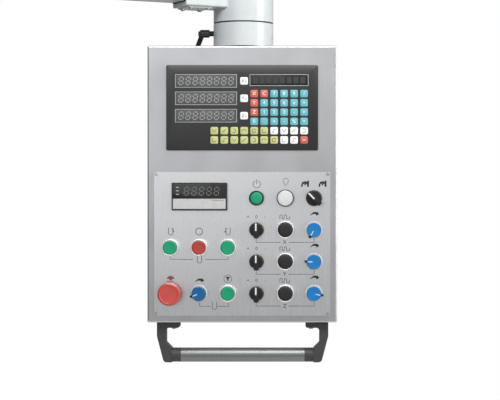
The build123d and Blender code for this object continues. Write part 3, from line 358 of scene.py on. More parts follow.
def raise_surface(tree, shader, fac, height, strength=1.0):
    """Let a pattern raise the surface by a height in metres."""
    bump = add(tree, "ShaderNodeBump", {"Strength": strength, "Distance": height}, {"Height": fac})
    tree.links.new(bump.outputs["Normal"], shader.inputs["Normal"])


def shade(colour, factor):
    """A lighter or darker tone of a linear colour."""
    return tuple(min(1.0, c * factor) for c in colour[:3]) + (1.0,)


def brushed_steel(colour):
    """Stainless sheet brushed up and down: soft sideways glints and fine upright lines."""
    material, tree, shader = finish("brushed_stainless_steel", colour, 0.36, 1.0, Anisotropic=0.55)
    # The grit is about 0.2 mm; it is drawn at 0.7 mm so that it shows.
    lines = object_pattern(tree, 0.7 * MM, (1, 1, 60))
    cloud = object_pattern(tree, 60 * MM, detail=1.0)
    vary_roughness(tree, shader, lines, 0.30, 0.42)
    vary_colour(tree, shader, cloud, shade(colour, 0.94), shade(colour, 1.05))
    raise_surface(tree, shader, lines, 0.01 * MM, 0.5)
    return material


def satin_plate(colour):
    """Satin anodised aluminium with an upright brushed grain: brighter and smoother than the box."""
    material, tree, shader = finish("satin_anodised_aluminium", colour, 0.30, 1.0, Anisotropic=0.6)
    # The grain is about 0.1 mm; it is drawn at 0.5 mm so that it shows.
    lines = object_pattern(tree, 0.5 * MM, (1, 1, 80))
    vary_roughness(tree, shader, lines, 0.25, 0.36)
    vary_colour(tree, shader, lines, shade(colour, 0.96), shade(colour, 1.03))
    raise_surface(tree, shader, lines, 0.006 * MM, 0.4)
    return material


def gloss_enamel(name, colour):
    """Stoved enamel over a casting: a clear gloss with a faint orange peel and a slightly uneven white."""
    material, tree, shader = finish(name, colour, 0.28, 0.0, Coat_Weight=0.5, Coat_Roughness=0.08)
    peel = object_pattern(tree, 1.6 * MM, detail=1.0)
    cloud = object_pattern(tree, 35 * MM)
    vary_colour(tree, shader, cloud, shade(colour, 0.965), colour)
    vary_roughness(tree, shader, cloud, 0.24, 0.32)
    raise_surface(tree, shader, peel, 0.02 * MM, 0.35)
    return material


def moulded_plastic(name, colour, roughness=0.42, texture=0.5 * MM, height=0.02 * MM, **sockets):
    """Injection moulded plastic: an even colour with a fine spark-eroded texture that breaks the gloss."""
    material, tree, shader = finish(name, colour, roughness, 0.0, **sockets)
    fine = object_pattern(tree, texture)
    cloud = object_pattern(tree, 12 * MM)
    vary_colour(tree, shader, cloud, shade(colour, 0.93), shade(colour, 1.04))
    vary_roughness(tree, shader, fine, roughness - 0.05, roughness + 0.07)
    raise_surface(tree, shader, fine, height, 0.5)
    return material


def cut_rubber(colour):
    """Cut rubber sheet: dull black with a talc bloom."""
    material, tree, shader = finish("cut_black_rubber", colour, 0.8, 0.0)
    bloom = object_pattern(tree, 4 * MM)
    vary_colour(tree, shader, bloom, colour, shade(colour, 1.9))
    raise_surface(tree, shader, bloom, 0.03 * MM, 0.4)
    return material


def machined_metal(name, colour, roughness, grain=0.4 * MM):
    """Turned or plated metal: a fine mottle of gloss, as tool marks and plating leave."""
    material, tree, shader = finish(name, colour, roughness, 1.0)
    marks = object_pattern(tree, grain)
    vary_roughness(tree, shader, marks, roughness - 0.07, roughness + 0.10)
    vary_colour(tree, shader, marks, shade(colour, 0.93), shade(colour, 1.03))
    raise_surface(tree, shader, marks, 0.008 * MM, 0.4)
    return material


def printed_film(name, colour, roughness=0.45):
    """Screen-printed polyester film: flat ink under a fine velvet texture."""
    material, tree, shader = finish(name, colour, roughness, 0.0)
    velvet = object_pattern(tree, 0.35 * MM)
    cloud = object_pattern(tree, 45 * MM)
    vary_colour(tree, shader, cloud, shade(colour, 0.93), shade(colour, 1.06))
    vary_roughness(tree, shader, velvet, roughness - 0.05, roughness + 0.05)
    raise_surface(tree, shader, velvet, 0.008 * MM, 0.4)
    return material


def screen_ink(name, colour):
    """Screen-printed ink: flat and slightly open, so the metal's grain breaks its edge."""
    material, tree, shader = finish(name, colour, 0.55, 0.0)
    grain = object_pattern(tree, 0.4 * MM, (1, 1, 6))
    vary_colour(tree, shader, grain, shade(colour, 0.85), shade(colour, 1.25))
    return material


def striped_window(name, colour, pitch, depth):
    """Smoked acrylic over a display: gloss in front, the upright bars of the unlit digits just showing."""
    material, tree, shader = finish(name, colour, 0.18, 0.0, Coat_Weight=0.4, Coat_Roughness=0.05)
    place = add(tree, "ShaderNodeTexCoord").outputs["Object"]
    mapping = add(tree, "ShaderNodeMapping", {"Scale": (1 / pitch,) * 3}, {"Vector": place})
    bars = add(
        tree,
        "ShaderNodeTexWave",
        {"bands_direction": "X", "Scale": 0.314, "Distortion": 1.2, "Detail": 2.0, "Detail Scale": 1.5},
        {"Vector": mapping.outputs["Vector"]},
    )
    cloud = object_pattern(tree, 9 * MM, (1, 1, 3))
    sums = {"operation": "MULTIPLY_ADD", 1: 0.5}
    both = add(tree, "ShaderNodeMath", sums, {0: bars.outputs["Fac"], 2: cloud}).outputs["Value"]
    vary_colour(tree, shader, both, shade(colour, 1 - depth), shade(colour, 1 + depth), 1.1)
    return material


def solder_mask(colour):
    """Green solder mask: glossy, with copper lands showing as paler patches."""
    material, tree, shader = finish("green_solder_mask", colour, 0.3, 0.0)
    lands = object_pattern(tree, 3 * MM, detail=0.0)
    vary_colour(tree, shader, lands, shade(colour, 0.7), shade(colour, 1.5))
    return material


def cast_texture(colour):
    """Fine textured powder coat on a die casting: dark, dull, with a sandy sparkle at the edges."""
    material, tree, shader = finish("charcoal_powder_coat", colour, 0.5, 0.0)
    sand = object_pattern(tree, 0.8 * MM)
    vary_colour(tree, shader, sand, shade(colour, 0.8), shade(colour, 1.25))
    vary_roughness(tree, shader, sand, 0.42, 0.6)
    raise_surface(tree, shader, sand, 0.06 * MM, 0.6)
    return material


# ---------------------------------------------------------------- settings a user would change


def tint(name, description, code):
    """A colour property whose default is an sRGB hex value."""
    return FloatVectorProperty(
        name=name, description=description, default=linear(code), size=4, subtype="COLOR", min=0, max=1
    )


class PendantColours(bpy.types.PropertyGroup):
    """Colours of the pendant's finishes."""

    steel: tint("Box steel", "Brushed sheet of the box", "#D0D1D2")
    plate: tint("Control plate", "Satin plate that carries the devices", "#F0F0F0")
    enamel: tint("Enamel", "Hub, elbow and arm", "#C3C8C9")
    film: tint("Readout film", "Black ground of the keypad", "#272727")
    key_red: tint("Red keys", "Axis and clear keys", "#C05C4E")
    key_cyan: tint("Cyan keys", "Number keys", "#5EA8B3")
    key_yellow: tint("Yellow keys", "Function keys", "#BDBE7E")
    key_white: tint("White keys", "Zero and arrow keys", "#EBEBEB")
    green: tint("Green caps", "Start buttons", "#02976A")
    red: tint("Red cap", "Stop button", "#AA3B33")
    stop: tint("Mushroom head", "Emergency stop", "#C24941")
    blue: tint("Blue knobs", "Feed and speed knobs", "#0273B8")
    black: tint("Black plastic", "Selectors, rapid caps and lever", "#161615")
    white: tint("White plastic", "Lamp cap and dial rings", "#D8D6D4")
    charcoal: tint("Charcoal", "Handle brackets", "#3C3C3C")
    ink: tint("Legend ink", "Printed marks on the control plate", "#1C1C1C")


class PendantSizes(bpy.types.PropertyGroup):
    """Sizes that a user would change."""

    ink_width: FloatProperty(
        name="Line width", description="Width of the printed lines", default=0.9 * MM, unit="LENGTH"
    )
    ink_rise: FloatProperty(
        name="Ink thickness", description="How far printed marks stand up", default=0.12 * MM, unit="LENGTH"
    )
    steps: IntProperty(name="Round steps", description="Facets round a turned piece", default=72, min=24)
    floor_drop: FloatProperty(
        name="Floor drop", description="Floor below the grab handle", default=0.9, unit="LENGTH"
    )


# ---------------------------------------------------------------- places on the panel


def at(across, down, outward=0.0):
    """Place in millimetres: across from the middle, down from the box top, out from the control plate."""
    return Vector((CENTRE_X + across * MM, PLATE_FACE - outward * MM, BOX_TOP - down * MM))


def device(node):
    """Middle of a device on the control plate's face."""
    centre = joint_place(node)
    return Vector((centre.x, PLATE_FACE, centre.z))


def colours():
    return bpy.context.scene.pendant_colours


def sizes():
    return bpy.context.scene.pendant_sizes


def barrel_ring(bore, inner, outer, height, edge):
    """Ring on the plate with its threaded barrel behind it, bored for a cap in front and a stem behind."""
    profile = [(bore, BARREL_BACK), (DEVICE_BARREL, BARREL_BACK), (DEVICE_BARREL, 0), (outer, 0)]
    profile += [(outer, height), (inner + 0.05, height), (inner, 0.9), (bore, 0.9), (bore, BARREL_BACK)]
    return turned(rounded(profile, edge), sizes().steps)


def cap_piece(radius, front, back, dish, edge, inset):
    """Round cap on a stem, with an eased rim and a slightly dished or domed face."""
    profile = [(0, BARREL_BACK), (STEM, BARREL_BACK), (STEM, back), (radius, back), (radius, front - inset)]
    profile += [(radius - 1.6, front), (radius * 0.55, front - dish * 0.8), (0, front - dish)]
    return turned(rounded(profile, edge), sizes().steps)


# ---------------------------------------------------------------- printed marks


def ink_line(points, width, closed=False):
    """Raised printed line through points in millimetres, its width in metres."""
    curve = bpy.data.curves.new("ink_line", "CURVE")
    curve.dimensions = "3D"
    curve.bevel_depth = width / 2
    curve.bevel_resolution = 2
    curve.use_fill_caps = True
    spline = curve.splines.new("POLY")
    spline.points.add(len(points) - 1)
    for point, (x, y) in zip(spline.points, points):
        point.co = (x * MM, y * MM, 0, 1)
    spline.use_cyclic_u = closed
    return flat_mesh(curve, width)


def ink_shape(outlines):
    """Raised printed area inside closed outlines in millimetres."""
    curve = bpy.data.curves.new("ink_shape", "CURVE")
    curve.dimensions = "2D"
    curve.fill_mode = "BOTH"
    curve.extrude = 0.5 * MM
    for outline in outlines:
        spline = curve.splines.new("POLY")
        spline.points.add(len(outline) - 1)
        for point, (x, y) in zip(spline.points, outline):
            point.co = (x * MM, y * MM, 0, 1)
        spline.use_cyclic_u = True
    return flat_mesh(curve, 1.0 * MM)


def ink_text(text, height):
    """Raised printed character, its capital height in millimetres."""
    bpy.ops.object.select_all(action="DESELECT")
    bpy.ops.object.text_add()
    piece = bpy.context.object
    piece.data.body = text
    piece.data.size = height * MM / 0.69
    piece.data.align_x = "CENTER"
    piece.data.align_y = "CENTER"
    piece.data.extrude = 0.5 * MM
    piece.data.resolution_u = 3
    return flat_mesh(piece, 1.0 * MM)


def flat_mesh(source, thickness):
    """Make a curve or text a mesh and press it flat to the ink's thickness, standing on z = 0."""
    if isinstance(source, bpy.types.Curve):
        source = bpy.data.objects.new(source.name, source)
        bpy.context.scene.collection.objects.link(source)
    select_only(source)
    bpy.ops.object.convert(target="MESH")
    piece = bpy.context.object
    rise = sizes().ink_rise
    piece.scale.z = rise / thickness
    piece.location.z = rise / 2
    apply_place(piece)
    edit(piece)
    bpy.ops.mesh.select_all(action="SELECT")
    bpy.ops.mesh.remove_doubles(threshold=1e-6)
    bpy.ops.mesh.normals_make_consistent(inside=False)
    close_edit()
    return piece


def arc(radius, start, end, steps=20, centre=(0, 0)):
    """Points round a circle in millimetres, with angles in degrees from the right, turning left."""
    angles = [radians(start + (end - start) * i / steps) for i in range(steps + 1)]
    return [(centre[0] + radius * cos(a), centre[1] + radius * sin(a)) for a in angles]


def box_outline(left, bottom, right, top):
    return [(left, bottom), (right, bottom), (right, top), (left, top)]


# Outlines of the plate's marks, in millimetres about each mark's middle
ARROW = [(-8.2, -3.5), (-5.4, 0.2), (-2.0, 2.7), (1.4, 3.4), (4.2, 2.6), (5.0, 3.7), (8.3, -0.8)]
ARROW += [(2.9, -3.5), (3.3, -1.5), (0.4, -0.2), (-3.0, -0.7), (-5.8, -2.1)]
WAVE = [(-9, -3.6), (-9, 2.6), (-8, 3.6), (-6, 3.6), (-5, 2.6), (-5, -2.6), (-4, -3.6), (-2.5, -3.6)]
WAVE += [(-1.5, -2.6), (-1.5, 2.6), (-0.5, 3.6), (1.5, 3.6), (2.5, 2.6), (2.5, -2.6), (3.5, -3.6)]
WAVE += [(6.8, -3.6), (8.0, -2.6), (8.0, 0.8)]
CUP = [(-3.7, 6.2), (-3.7, -4.4), (-2.2, -6.2), (2.2, -6.2), (3.7, -4.4), (3.7, 6.2)]
BULB = [(-1.8, -6.0), (-2.2, -3.6), (-4.2, -0.6), (-4.7, 2.2), (-3.4, 5.0), (0, 6.4)]
BULB += [(3.4, 5.0), (4.7, 2.2), (4.2, -0.6), (2.2, -3.6), (1.8, -6.0)]
TAP = [(-3.4, 3.6), (3.4, 3.6), (3.0, 1.4), (1.3, 0.6), (1.1, -2.6), (0, -4.4), (-1.1, -2.6), (-1.3, 0.6)]
TAP += [(-3.0, 1.4)]
GEARS = [
    [(-7.2, -5.4), (-4.6, -5.4), (-4.0, -1.0), (-1.4, 0.2), (-1.4, 3.8), (-4.6, 3.4), (-6.6, -0.6)],
    [(-1.4, -2.6), (0.4, -3.2), (1.6, 0.0), (3.2, -0.6), (3.2, 3.0), (0.2, 5.0), (-1.4, 3.8)],
    [(3.2, -5.2), (6.6, -5.2), (6.6, 5.4), (3.9, 5.4), (3.2, 3.0)],
]
MUSHROOM = [
    [(-6.4, -1.0)] + [(6.4 * cos(radians(a)), -1.0 + 5.4 * sin(radians(a))) for a in range(165, 0, -15)]
    + [(6.4, -1.0), (2.2, -1.4), (2.2, -3.4), (-2.2, -3.4), (-2.2, -1.4)],
    box_outline(-6.4, -5.6, 6.4, -4.4),
]


class PENDANT_OT_plate_marks(bpy.types.Operator):
    """Print the marks of the control plate: arrows, brackets, axis letters and device symbols"""

    bl_idname = "pendant.plate_marks"
    bl_label = "Control plate marks"

    def execute(self, context):
        width = sizes().ink_width
        dark, bold, maroon = [], [], []

        def put(piece, across, down, group):
            group.append(place_piece(piece, at(across, down)))

        def bracket(left, right, gap, top, foot):
            for side, end in ((left, gap[0]), (right, gap[1])):
                put(ink_line([(side, -top), (side, -foot), (end, -foot)], width), 0, 0, dark)

        put(ink_line(arc(6.4, 112, 428), width), 25.4, 241.2, dark)
        put(ink_line([(0, 0.6), (0, 8.4)], width), 25.4, 241.2, dark)
        put(ink_line(BULB, 0.8 * width, True), 75.7, 237.2, dark)
        for across in (109.6, 140.1):
            put(ink_shape(GEARS), across, 240.4, bold)
        for letter in "XYZ":
            down = (BOX_TOP - device(letter.lower() + "_direction_selector").z) / MM
            for mark, across in (("+", 10.3), ("0", 24.9), ("-", 40.2)):
                put(ink_text(mark, 5.6), across, down - 22.4, dark)
            put(ink_line(WAVE, width), 74.6, down - 22.4, dark)
            put(ink_shape([ARROW]), 125.8, down - 27.8, bold)
            bracket(24.4, 125.1, (66.8, 81.0), down + 15.0, down + 21.9)
            put(ink_text(letter, 6.4), 74.0, down + 21.9, bold)
        for across, side in ((-124.2, 1), (-24.5, -1)):
            put(ink_line(CUP, width), across, 323.0, dark)
            head = [(2.0 * side, 1.6), (5.6 * side, 0.2), (2.6 * side, -2.6)]
            put(ink_shape([head]), across + 0.8 * side, 323.4, bold)
            put(ink_line(arc(4.6, 90 - 55 * side, 90 - 5 * side, 8), width), across + 1.2 * side, 322.6, dark)
        put(ink_line(arc(6.0, 0, 345, 24), 1.2 * width, True), -74.8, 323.5, dark)
        bracket(-124.2, -24.5, (-85.8, -63.7), 367.4, 372.0)
        put(ink_line(CUP, width), -74.2, 371.8, dark)
        for outline in MUSHROOM:
            put(ink_shape([outline]), -124.4, 404.9, maroon)
        put(ink_shape([ARROW]), -74.3, 408.4, bold)
        put(ink_line(arc(6.8, 0, 345, 24), 0.8 * width, True), -24.9, 405.8, dark)
        put(ink_shape([TAP]), -24.9, 405.8, bold)
        bracket(-74.3, -23.8, (-55.5, -42.3), 447.0, 453.4)
        put(ink_line(CUP, width), -48.2, 452.3, dark)
        ink = screen_ink("dark_screen_ink", colours().ink)
        solid = screen_ink("black_screen_ink", shade(colours().ink, 0.45))
        stop = screen_ink("maroon_screen_ink", linear("#8E3F55"))
        for group, name, material in (
            (dark, "plate_line_marks", ink),
            (bold, "plate_solid_marks", solid),
            (maroon, "plate_stop_mark", stop),
        ):
            finish_piece(join(group, name), name, "pendant", material)
        return {"FINISHED"}


# ---------------------------------------------------------------- devices on the plate


class PENDANT_OT_push_buttons(bpy.types.Operator):
    """Turn the push button rings and caps"""

    bl_idname = "pendant.push_buttons"
    bl_label = "Push buttons"

    def execute(self, context):
        c = colours()
        chrome = machined_metal("bright_chromed_zinc", linear("#F2F3F3"), 0.42, 0.8 * MM)
        smoked = machined_metal("black_chromed_zinc", linear("#58595B"), 0.22, 0.8 * MM)
        black = moulded_plastic("black_abs_ring", c.black, 0.4)
        green = moulded_plastic("green_translucent_abs", c.green, 0.38, 0.9 * MM, Subsurface_Weight=0.08)
        red = moulded_plastic("red_translucent_abs", c.red, 0.38, 0.9 * MM, Subsurface_Weight=0.08)
        white = moulded_plastic("opal_white_abs", c.white, 0.34, 0.9 * MM, Subsurface_Weight=0.1)
        soft = moulded_plastic("black_abs_cap", shade(c.black, 1.2), 0.46, 0.7 * MM)
        # Ring radius, cap radius, their materials, and the dish of the cap, domed where under 0
        spindle, rapid = (14.6, 11.9, chrome), (15.0, 12.7, chrome)
        forms = {
            "power_button": (13.0, 10.5, black, green, -0.5),
            "lamp_button": (15.0, 13.4, smoked, white, -0.6),
            "spindle_forward_button": (*spindle, green, 0.5),
            "spindle_stop_button": (*spindle, red, 0.5),
            "spindle_reverse_button": (*spindle, green, 0.5),
            "tapping_button": (*spindle, green, 0.5),
            "x_rapid_button": (*rapid, soft, -0.7),
            "y_rapid_button": (*rapid, soft, -0.7),
            "z_rapid_button": (*rapid, soft, -0.7),
        }
        ring_height, cap_front, cap_back = 9.0, 10.0, 5.2
        rings = {}
        for node, (outer, radius, ring_material, cap_material, dish) in forms.items():
            ring = barrel_ring(STEM_BORE, radius + 0.3, outer, ring_height, 0.7)
            ring.data.materials.append(ring_material)
            rings.setdefault(ring_material.name, []).append(place_piece(ring, device(node)))
            cap = cap_piece(radius, cap_front + min(dish, 0), cap_back, dish, 0.6, 0.6 if dish > 0 else 0.9)
            place_piece(cap, device(node))
            finish_piece(cap, node + "_cap", node, cap_material, (node,))
        for name, group in rings.items():
            finish_fixed(group, "rings_" + name, None, ("button_bezels",))
        return {"FINISHED"}


class PENDANT_OT_selectors(bpy.types.Operator):
    """Model the selector switches: collar, disc, grip bar with a pointed tail and a white line"""

    bl_idname = "pendant.selectors"
    bl_label = "Selector switches"

    def execute(self, context):
        c = colours()
        black = moulded_plastic("black_glass_filled_polyamide", c.black, 0.36, 0.6 * MM)
        white = screen_ink("white_pointer_paint", c.white)
        collars = []
        for node in SELECTORS:
            centre = device(node)
            gear = node == "gear_selector"
            radius = 14.0 if gear else 12.7
            turn = radians(45.0 if gear else 0.0)
            collars.append(place_piece(barrel_ring(STEM_BORE, STEM_BORE, radius, 4.0, 0.5), centre))
            disc = [(0, BARREL_BACK), (STEM, BARREL_BACK), (STEM, 4.3), (radius - 0.3, 4.3)]
            disc += [(radius - 0.3, 8.0), (radius - 1.6, 10.3), (0, 10.3)]
            body = turned(rounded(disc, 0.6), sizes().steps)
            body = join([body, self.grip(radius)], node)
            line = bar(2.6, radius + 0.2, LINE_RISE, 0.5, 0.05, (-0.6, radius / 2 - 1.4, 22.15))
            place_piece(body, centre, turn)
            place_piece(line, centre, turn)
            finish_piece(body, node + "_grip", node, black, (node,))
            finish_piece(line, node + "_line", node, white)
        finish_fixed(collars, "selector_collars", black, ("selector_bezels",))
        return {"FINISHED"}

    def grip(self, radius):
        """Grip bar: a long block drawn in to a point at its tail, with eased edges."""
        width, length, height, shift = 8.0, 2 * radius + 1.6, 12.0, 0.8
        bpy.ops.object.select_all(action="DESELECT")
        bpy.ops.mesh.primitive_cube_add(size=1, scale=(width * MM, length * MM, height * MM))
        grip = bpy.context.object
        grip.location = (0, -shift * MM, 16.2 * MM)
        apply_place(grip)
        tail = -(length / 2 + shift) * MM
        pick_faces(grip, lambda centre, normal: normal.y < -0.9)
        bpy.ops.mesh.inset(thickness=0.01 * MM)
        close_edit()
        pick_edges(
            grip,
            lambda a, b: max(a.y, b.y) < tail + 1e-5
            and abs(a.z - b.z) > 5 * MM
            and abs(abs(a.x) - width / 2 * MM) < 1e-5,
        )
        bpy.ops.mesh.bevel(offset=3.4 * MM, segments=1, affect="EDGES")
        close_edit()
        soften(grip, 0.7 * MM, 3, 25)
        return grip


class PENDANT_OT_knobs(bpy.types.Operator):
    """Model the feed and speed knobs: white dial, black skirt with a nub, blue cap with a white line"""

    bl_idname = "pendant.knobs"
    bl_label = "Feed and speed knobs"

    def execute(self, context):
        c = colours()
        skirt_black = moulded_plastic("black_abs_skirt", c.black, 0.42)
        blue = moulded_plastic("blue_abs_cap", c.blue, 0.36, 0.8 * MM)
        deep = moulded_plastic("deep_blue_abs_cap", shade(c.blue, 0.6), 0.36, 0.8 * MM)
        dial_white = moulded_plastic("white_abs_dial", c.white, 0.4)
        white = screen_ink("white_line_paint", c.white)
        # Where each knob points, in degrees turned right from straight up
        pointing = {"spindle_speed_knob": -111.0, "x_feed_knob": -150.0, "y_feed_knob": -88.0}
        pointing["z_feed_knob"] = 101.0
        dials = []
        for node in KNOBS:
            centre = device(node)
            dials.append(place_piece(barrel_ring(STEM, STEM, 14.6, 2.5, 0.4), centre))
            profile = [(0, 3.2), (11.6, 3.2), (12.3, 3.9), (12.3, 6.0), (11.5, 7.0), (0, 7.0)]
            skirt = turned(rounded(profile, 0.3), sizes().steps)
            nub = bar(4.2, 7.0, 3.2, 1.2, 0.5, (0, 12.9, 3.4))
            skirt = join([skirt, nub], "skirt")
            cap = self.fluted()
            line = bar(1.5, 8.0, LINE_RISE, 0.4, 0.05, (0, 6.6, 17.0))
            for piece in (skirt, cap, line):
                place_piece(piece, centre, radians(-pointing[node]))
            material = deep if node == "spindle_speed_knob" else blue
            finish_piece(skirt, node + "_skirt", node, skirt_black, (node,))
            finish_piece(cap, node + "_cap", node, material, (node,))
            finish_piece(line, node + "_line", node, white)
        finish_fixed(dials, "knob_dials", dial_white, ("knob_bezels",))
        return {"FINISHED"}

    def fluted(self):
        """Grip with fine flutes round its side and an eased flat face."""
        sides = 96

        def every_other(centre, normal):
            side = round(atan2(normal.y, normal.x) / (2 * pi) * sides - 0.5)
            return abs(normal.z) < 0.1 and side % 2 == 0

        bpy.ops.object.select_all(action="DESELECT")
        bpy.ops.mesh.primitive_cylinder_add(
            vertices=sides, radius=12.2 * MM, depth=9.0 * MM, location=(0, 0, 11.3 * MM)
        )
        cap = bpy.context.object
        apply_place(cap)
        pick_faces(cap, every_other)
        bpy.ops.mesh.inset(thickness=0.12 * MM, use_individual=True, depth=-0.35 * MM)
        close_edit()
        pick_faces(cap, lambda centre, normal: normal.z > 0.9)
        bpy.ops.mesh.inset(thickness=0.6 * MM)
        bpy.ops.transform.translate(value=(0, 0, 1.2 * MM))
        bpy.ops.mesh.inset(thickness=1.2 * MM)
        bpy.ops.transform.translate(value=(0, 0, -0.1 * MM))
        close_edit()
        return cap


class PENDANT_OT_stop(bpy.types.Operator):
    """Turn the emergency stop: black base, widened so that it also stands in for the head's shadow as painted
    shade, red mushroom head with a raised rim
    """

    bl_idname = "pendant.stop"
    bl_label = "Emergency stop"

    def execute(self, context):
        c = colours()
        black_base_and_painted_shade = moulded_plastic("black_polyamide_base", c.black, 0.4)
        red = moulded_plastic("red_gloss_polyamide", c.stop, 0.32, 1.2 * MM, Coat_Weight=0.25)
        centre = device("estop_head")
        # The black base is widened to a radius of 19.4 mm so that it shows at the head's right and upper
        # edge: partly the real base, partly painted shade for the head's shadow there.
        base = place_piece(barrel_ring(9.35, 9.35, 19.4, 9.0, 0.9), centre)
        finish_fixed([base], "stop_base", black_base_and_painted_shade, ("estop_base",))
        profile = [(0, 25.3), (7.05, 25.3), (7.05, 14.3), (12.0, 14.3), (12.6, 17.0), (19.0, 17.0)]
        profile += [(20.0, 18.4), (20.0, 25.8), (18.6, 29.2), (17.0, 30.0), (15.9, 29.9), (15.2, 29.1)]
        profile += [(0, 29.3)]
        head = turned(rounded(profile, 0.7), 96)
        place_piece(head, centre)
        finish_piece(head, "stop_head", "estop_head", red, ("estop_head",))
        return {"FINISHED"}


# ---------------------------------------------------------------- position readout

# Millimetres: places are across the panel from its middle and down from the box top
READOUT_FACE = (PLATE_FACE - low("readout_membrane").y - 0.6 * MM) / MM
AXIS_WINDOWS = [(-62.75, 61.7 + 30.25 * row) for row in range(3)]
AXIS_SIZE = (105.3, 21.0)
MESSAGE_WINDOW = (64.3, 60.25)
MESSAGE_SIZE = (100.0, 18.1)
PANE_LAP = 2.9           # how much larger a pane is than its window
FIRST_KEY = (21.0, 83.85)
KEY_STEP = (17.33, 16.1)
KEY_ROWS = ["rrcccc", "rccccc", "rccccc", "cccccc", "yyyyyywwww", "yyyyyyywwr"]
KEY_SIGNS = ["XC789/", "Y456x+", "Z123-=", "0.+-%=", "", ""]


def seven_segments(width, height, bar=1.7, lean=0.12):
    """Outlines of one seven-segment figure in millimetres about its middle."""
    half, rise, b = width / 2, height / 2, bar / 2
    ends = (-half + b, half - b)

    def across(y):
        left, right = ends[0] + b, ends[1] - b
        return [(ends[0], y), (left, y + b), (right, y + b), (ends[1], y), (right, y - b), (left, y - b)]

    def upright(x, y0, y1):
        low_end, high_end = y0 + b, y1 - b
        return [(x, low_end), (x + b, low_end + b), (x + b, high_end - b), (x, high_end),
                (x - b, high_end - b), (x - b, low_end + b)]

    outlines = [across(rise), across(0), across(-rise)]
    outlines += [upright(x, y0, y1) for x in (-half, half) for y0, y1 in ((-rise, 0), (0, rise))]
    return [[(x + y * lean, y) for x, y in outline] for outline in outlines]


class PENDANT_OT_readout_film(bpy.types.Operator):
    """Cut the printed film of the readout round its windows and print its pale window borders"""

    bl_idname = "pendant.readout_film"
    bl_label = "Readout film"

    def execute(self, context):
        c = colours()
        film = slab(264 * MM, 148.5 * MM, 0.5 * MM, 3 * MM, 0.15 * MM)
        place_piece(film, at(0, 108.25, 1.0))
        cutters = []
        for (across, down), (width, height) in self.windows():
            cutter = slab(width * MM, height * MM, 4 * MM, 0.6 * MM)
            cutters.append(place_piece(cutter, at(across, down, -1.0)))
        cutter = join(cutters, "window_cutter")
        apply_modifier(film, "BOOLEAN", operation="DIFFERENCE", solver="EXACT", object=cutter)
        bpy.data.objects.remove(cutter)
        printed = printed_film("black_printed_polyester_film", c.film, 0.38)
        finish_fixed([film], "readout_film", printed, ("readout_membrane",))
        borders = []
        for (across, down), (width, height) in self.windows():
            half, rise = width / 2 + 0.6, height / 2 + 0.6
            line = ink_line(box_outline(-half, -rise, half, rise), 1.0 * MM, True)
            borders.append(place_piece(line, at(across, down, READOUT_FACE)))
        pale = screen_ink("pale_grey_ink", linear("#B9BBB9"))
        finish_fixed(borders, "window_borders", pale)
        return {"FINISHED"}

    def windows(self):
        return [(place, AXIS_SIZE) for place in AXIS_WINDOWS] + [(MESSAGE_WINDOW, MESSAGE_SIZE)]


class PENDANT_OT_readout_windows(bpy.types.Operator):
    """Set the smoked panes and the unlit figures behind them"""

    bl_idname = "pendant.readout_windows"
    bl_label = "Readout windows"

    def execute(self, context):
        like = "readout_window_panes"
        panes, figures, cells = [], [], []
        one = ink_shape(seven_segments(7.4, 13.0))
        for across, down in AXIS_WINDOWS:
            panes.append(self.pane(AXIS_SIZE, (across, down)))
            for place in range(8):
                figure = copy_piece(one, "figure")
                figures.append(place_piece(figure, at(across - 43.4 + 12.4 * place, down, 1.0)))
        bpy.data.objects.remove(one)
        smoked = striped_window("grey_smoked_acrylic", linear("#505151"), 1.9 * MM, 0.28)
        finish_fixed(panes, "axis_panes", smoked, (like,))
        unlit = screen_ink("unlit_figure_grey", linear("#8B8C8A"))
        finish_fixed(figures, "axis_figures", unlit)
        dark = striped_window("black_smoked_acrylic", linear("#151516"), 2.4 * MM, 0.2)
        finish_fixed([self.pane(MESSAGE_SIZE, MESSAGE_WINDOW)], "message_pane", dark, (like,))
        across, down = MESSAGE_WINDOW
        for number in range(8):
            cell = ink_shape([box_outline(-4.4, -5.6, 4.4, 5.6)])
            cells.append(place_piece(cell, at(across - 40.9 + 11.7 * number, down, 1.0)))
        faint = screen_ink("unlit_cell_grey", linear("#2A2B2C"))
        finish_fixed(cells, "message_cells", faint)
        return {"FINISHED"}

    def pane(self, size, place):
        """Pane behind a window, lapping behind the film on every side."""
        pane = slab((size[0] + PANE_LAP) * MM, (size[1] + PANE_LAP) * MM, 2 * MM, 0, 0.1 * MM)
        return place_piece(pane, at(*place, -1.0))


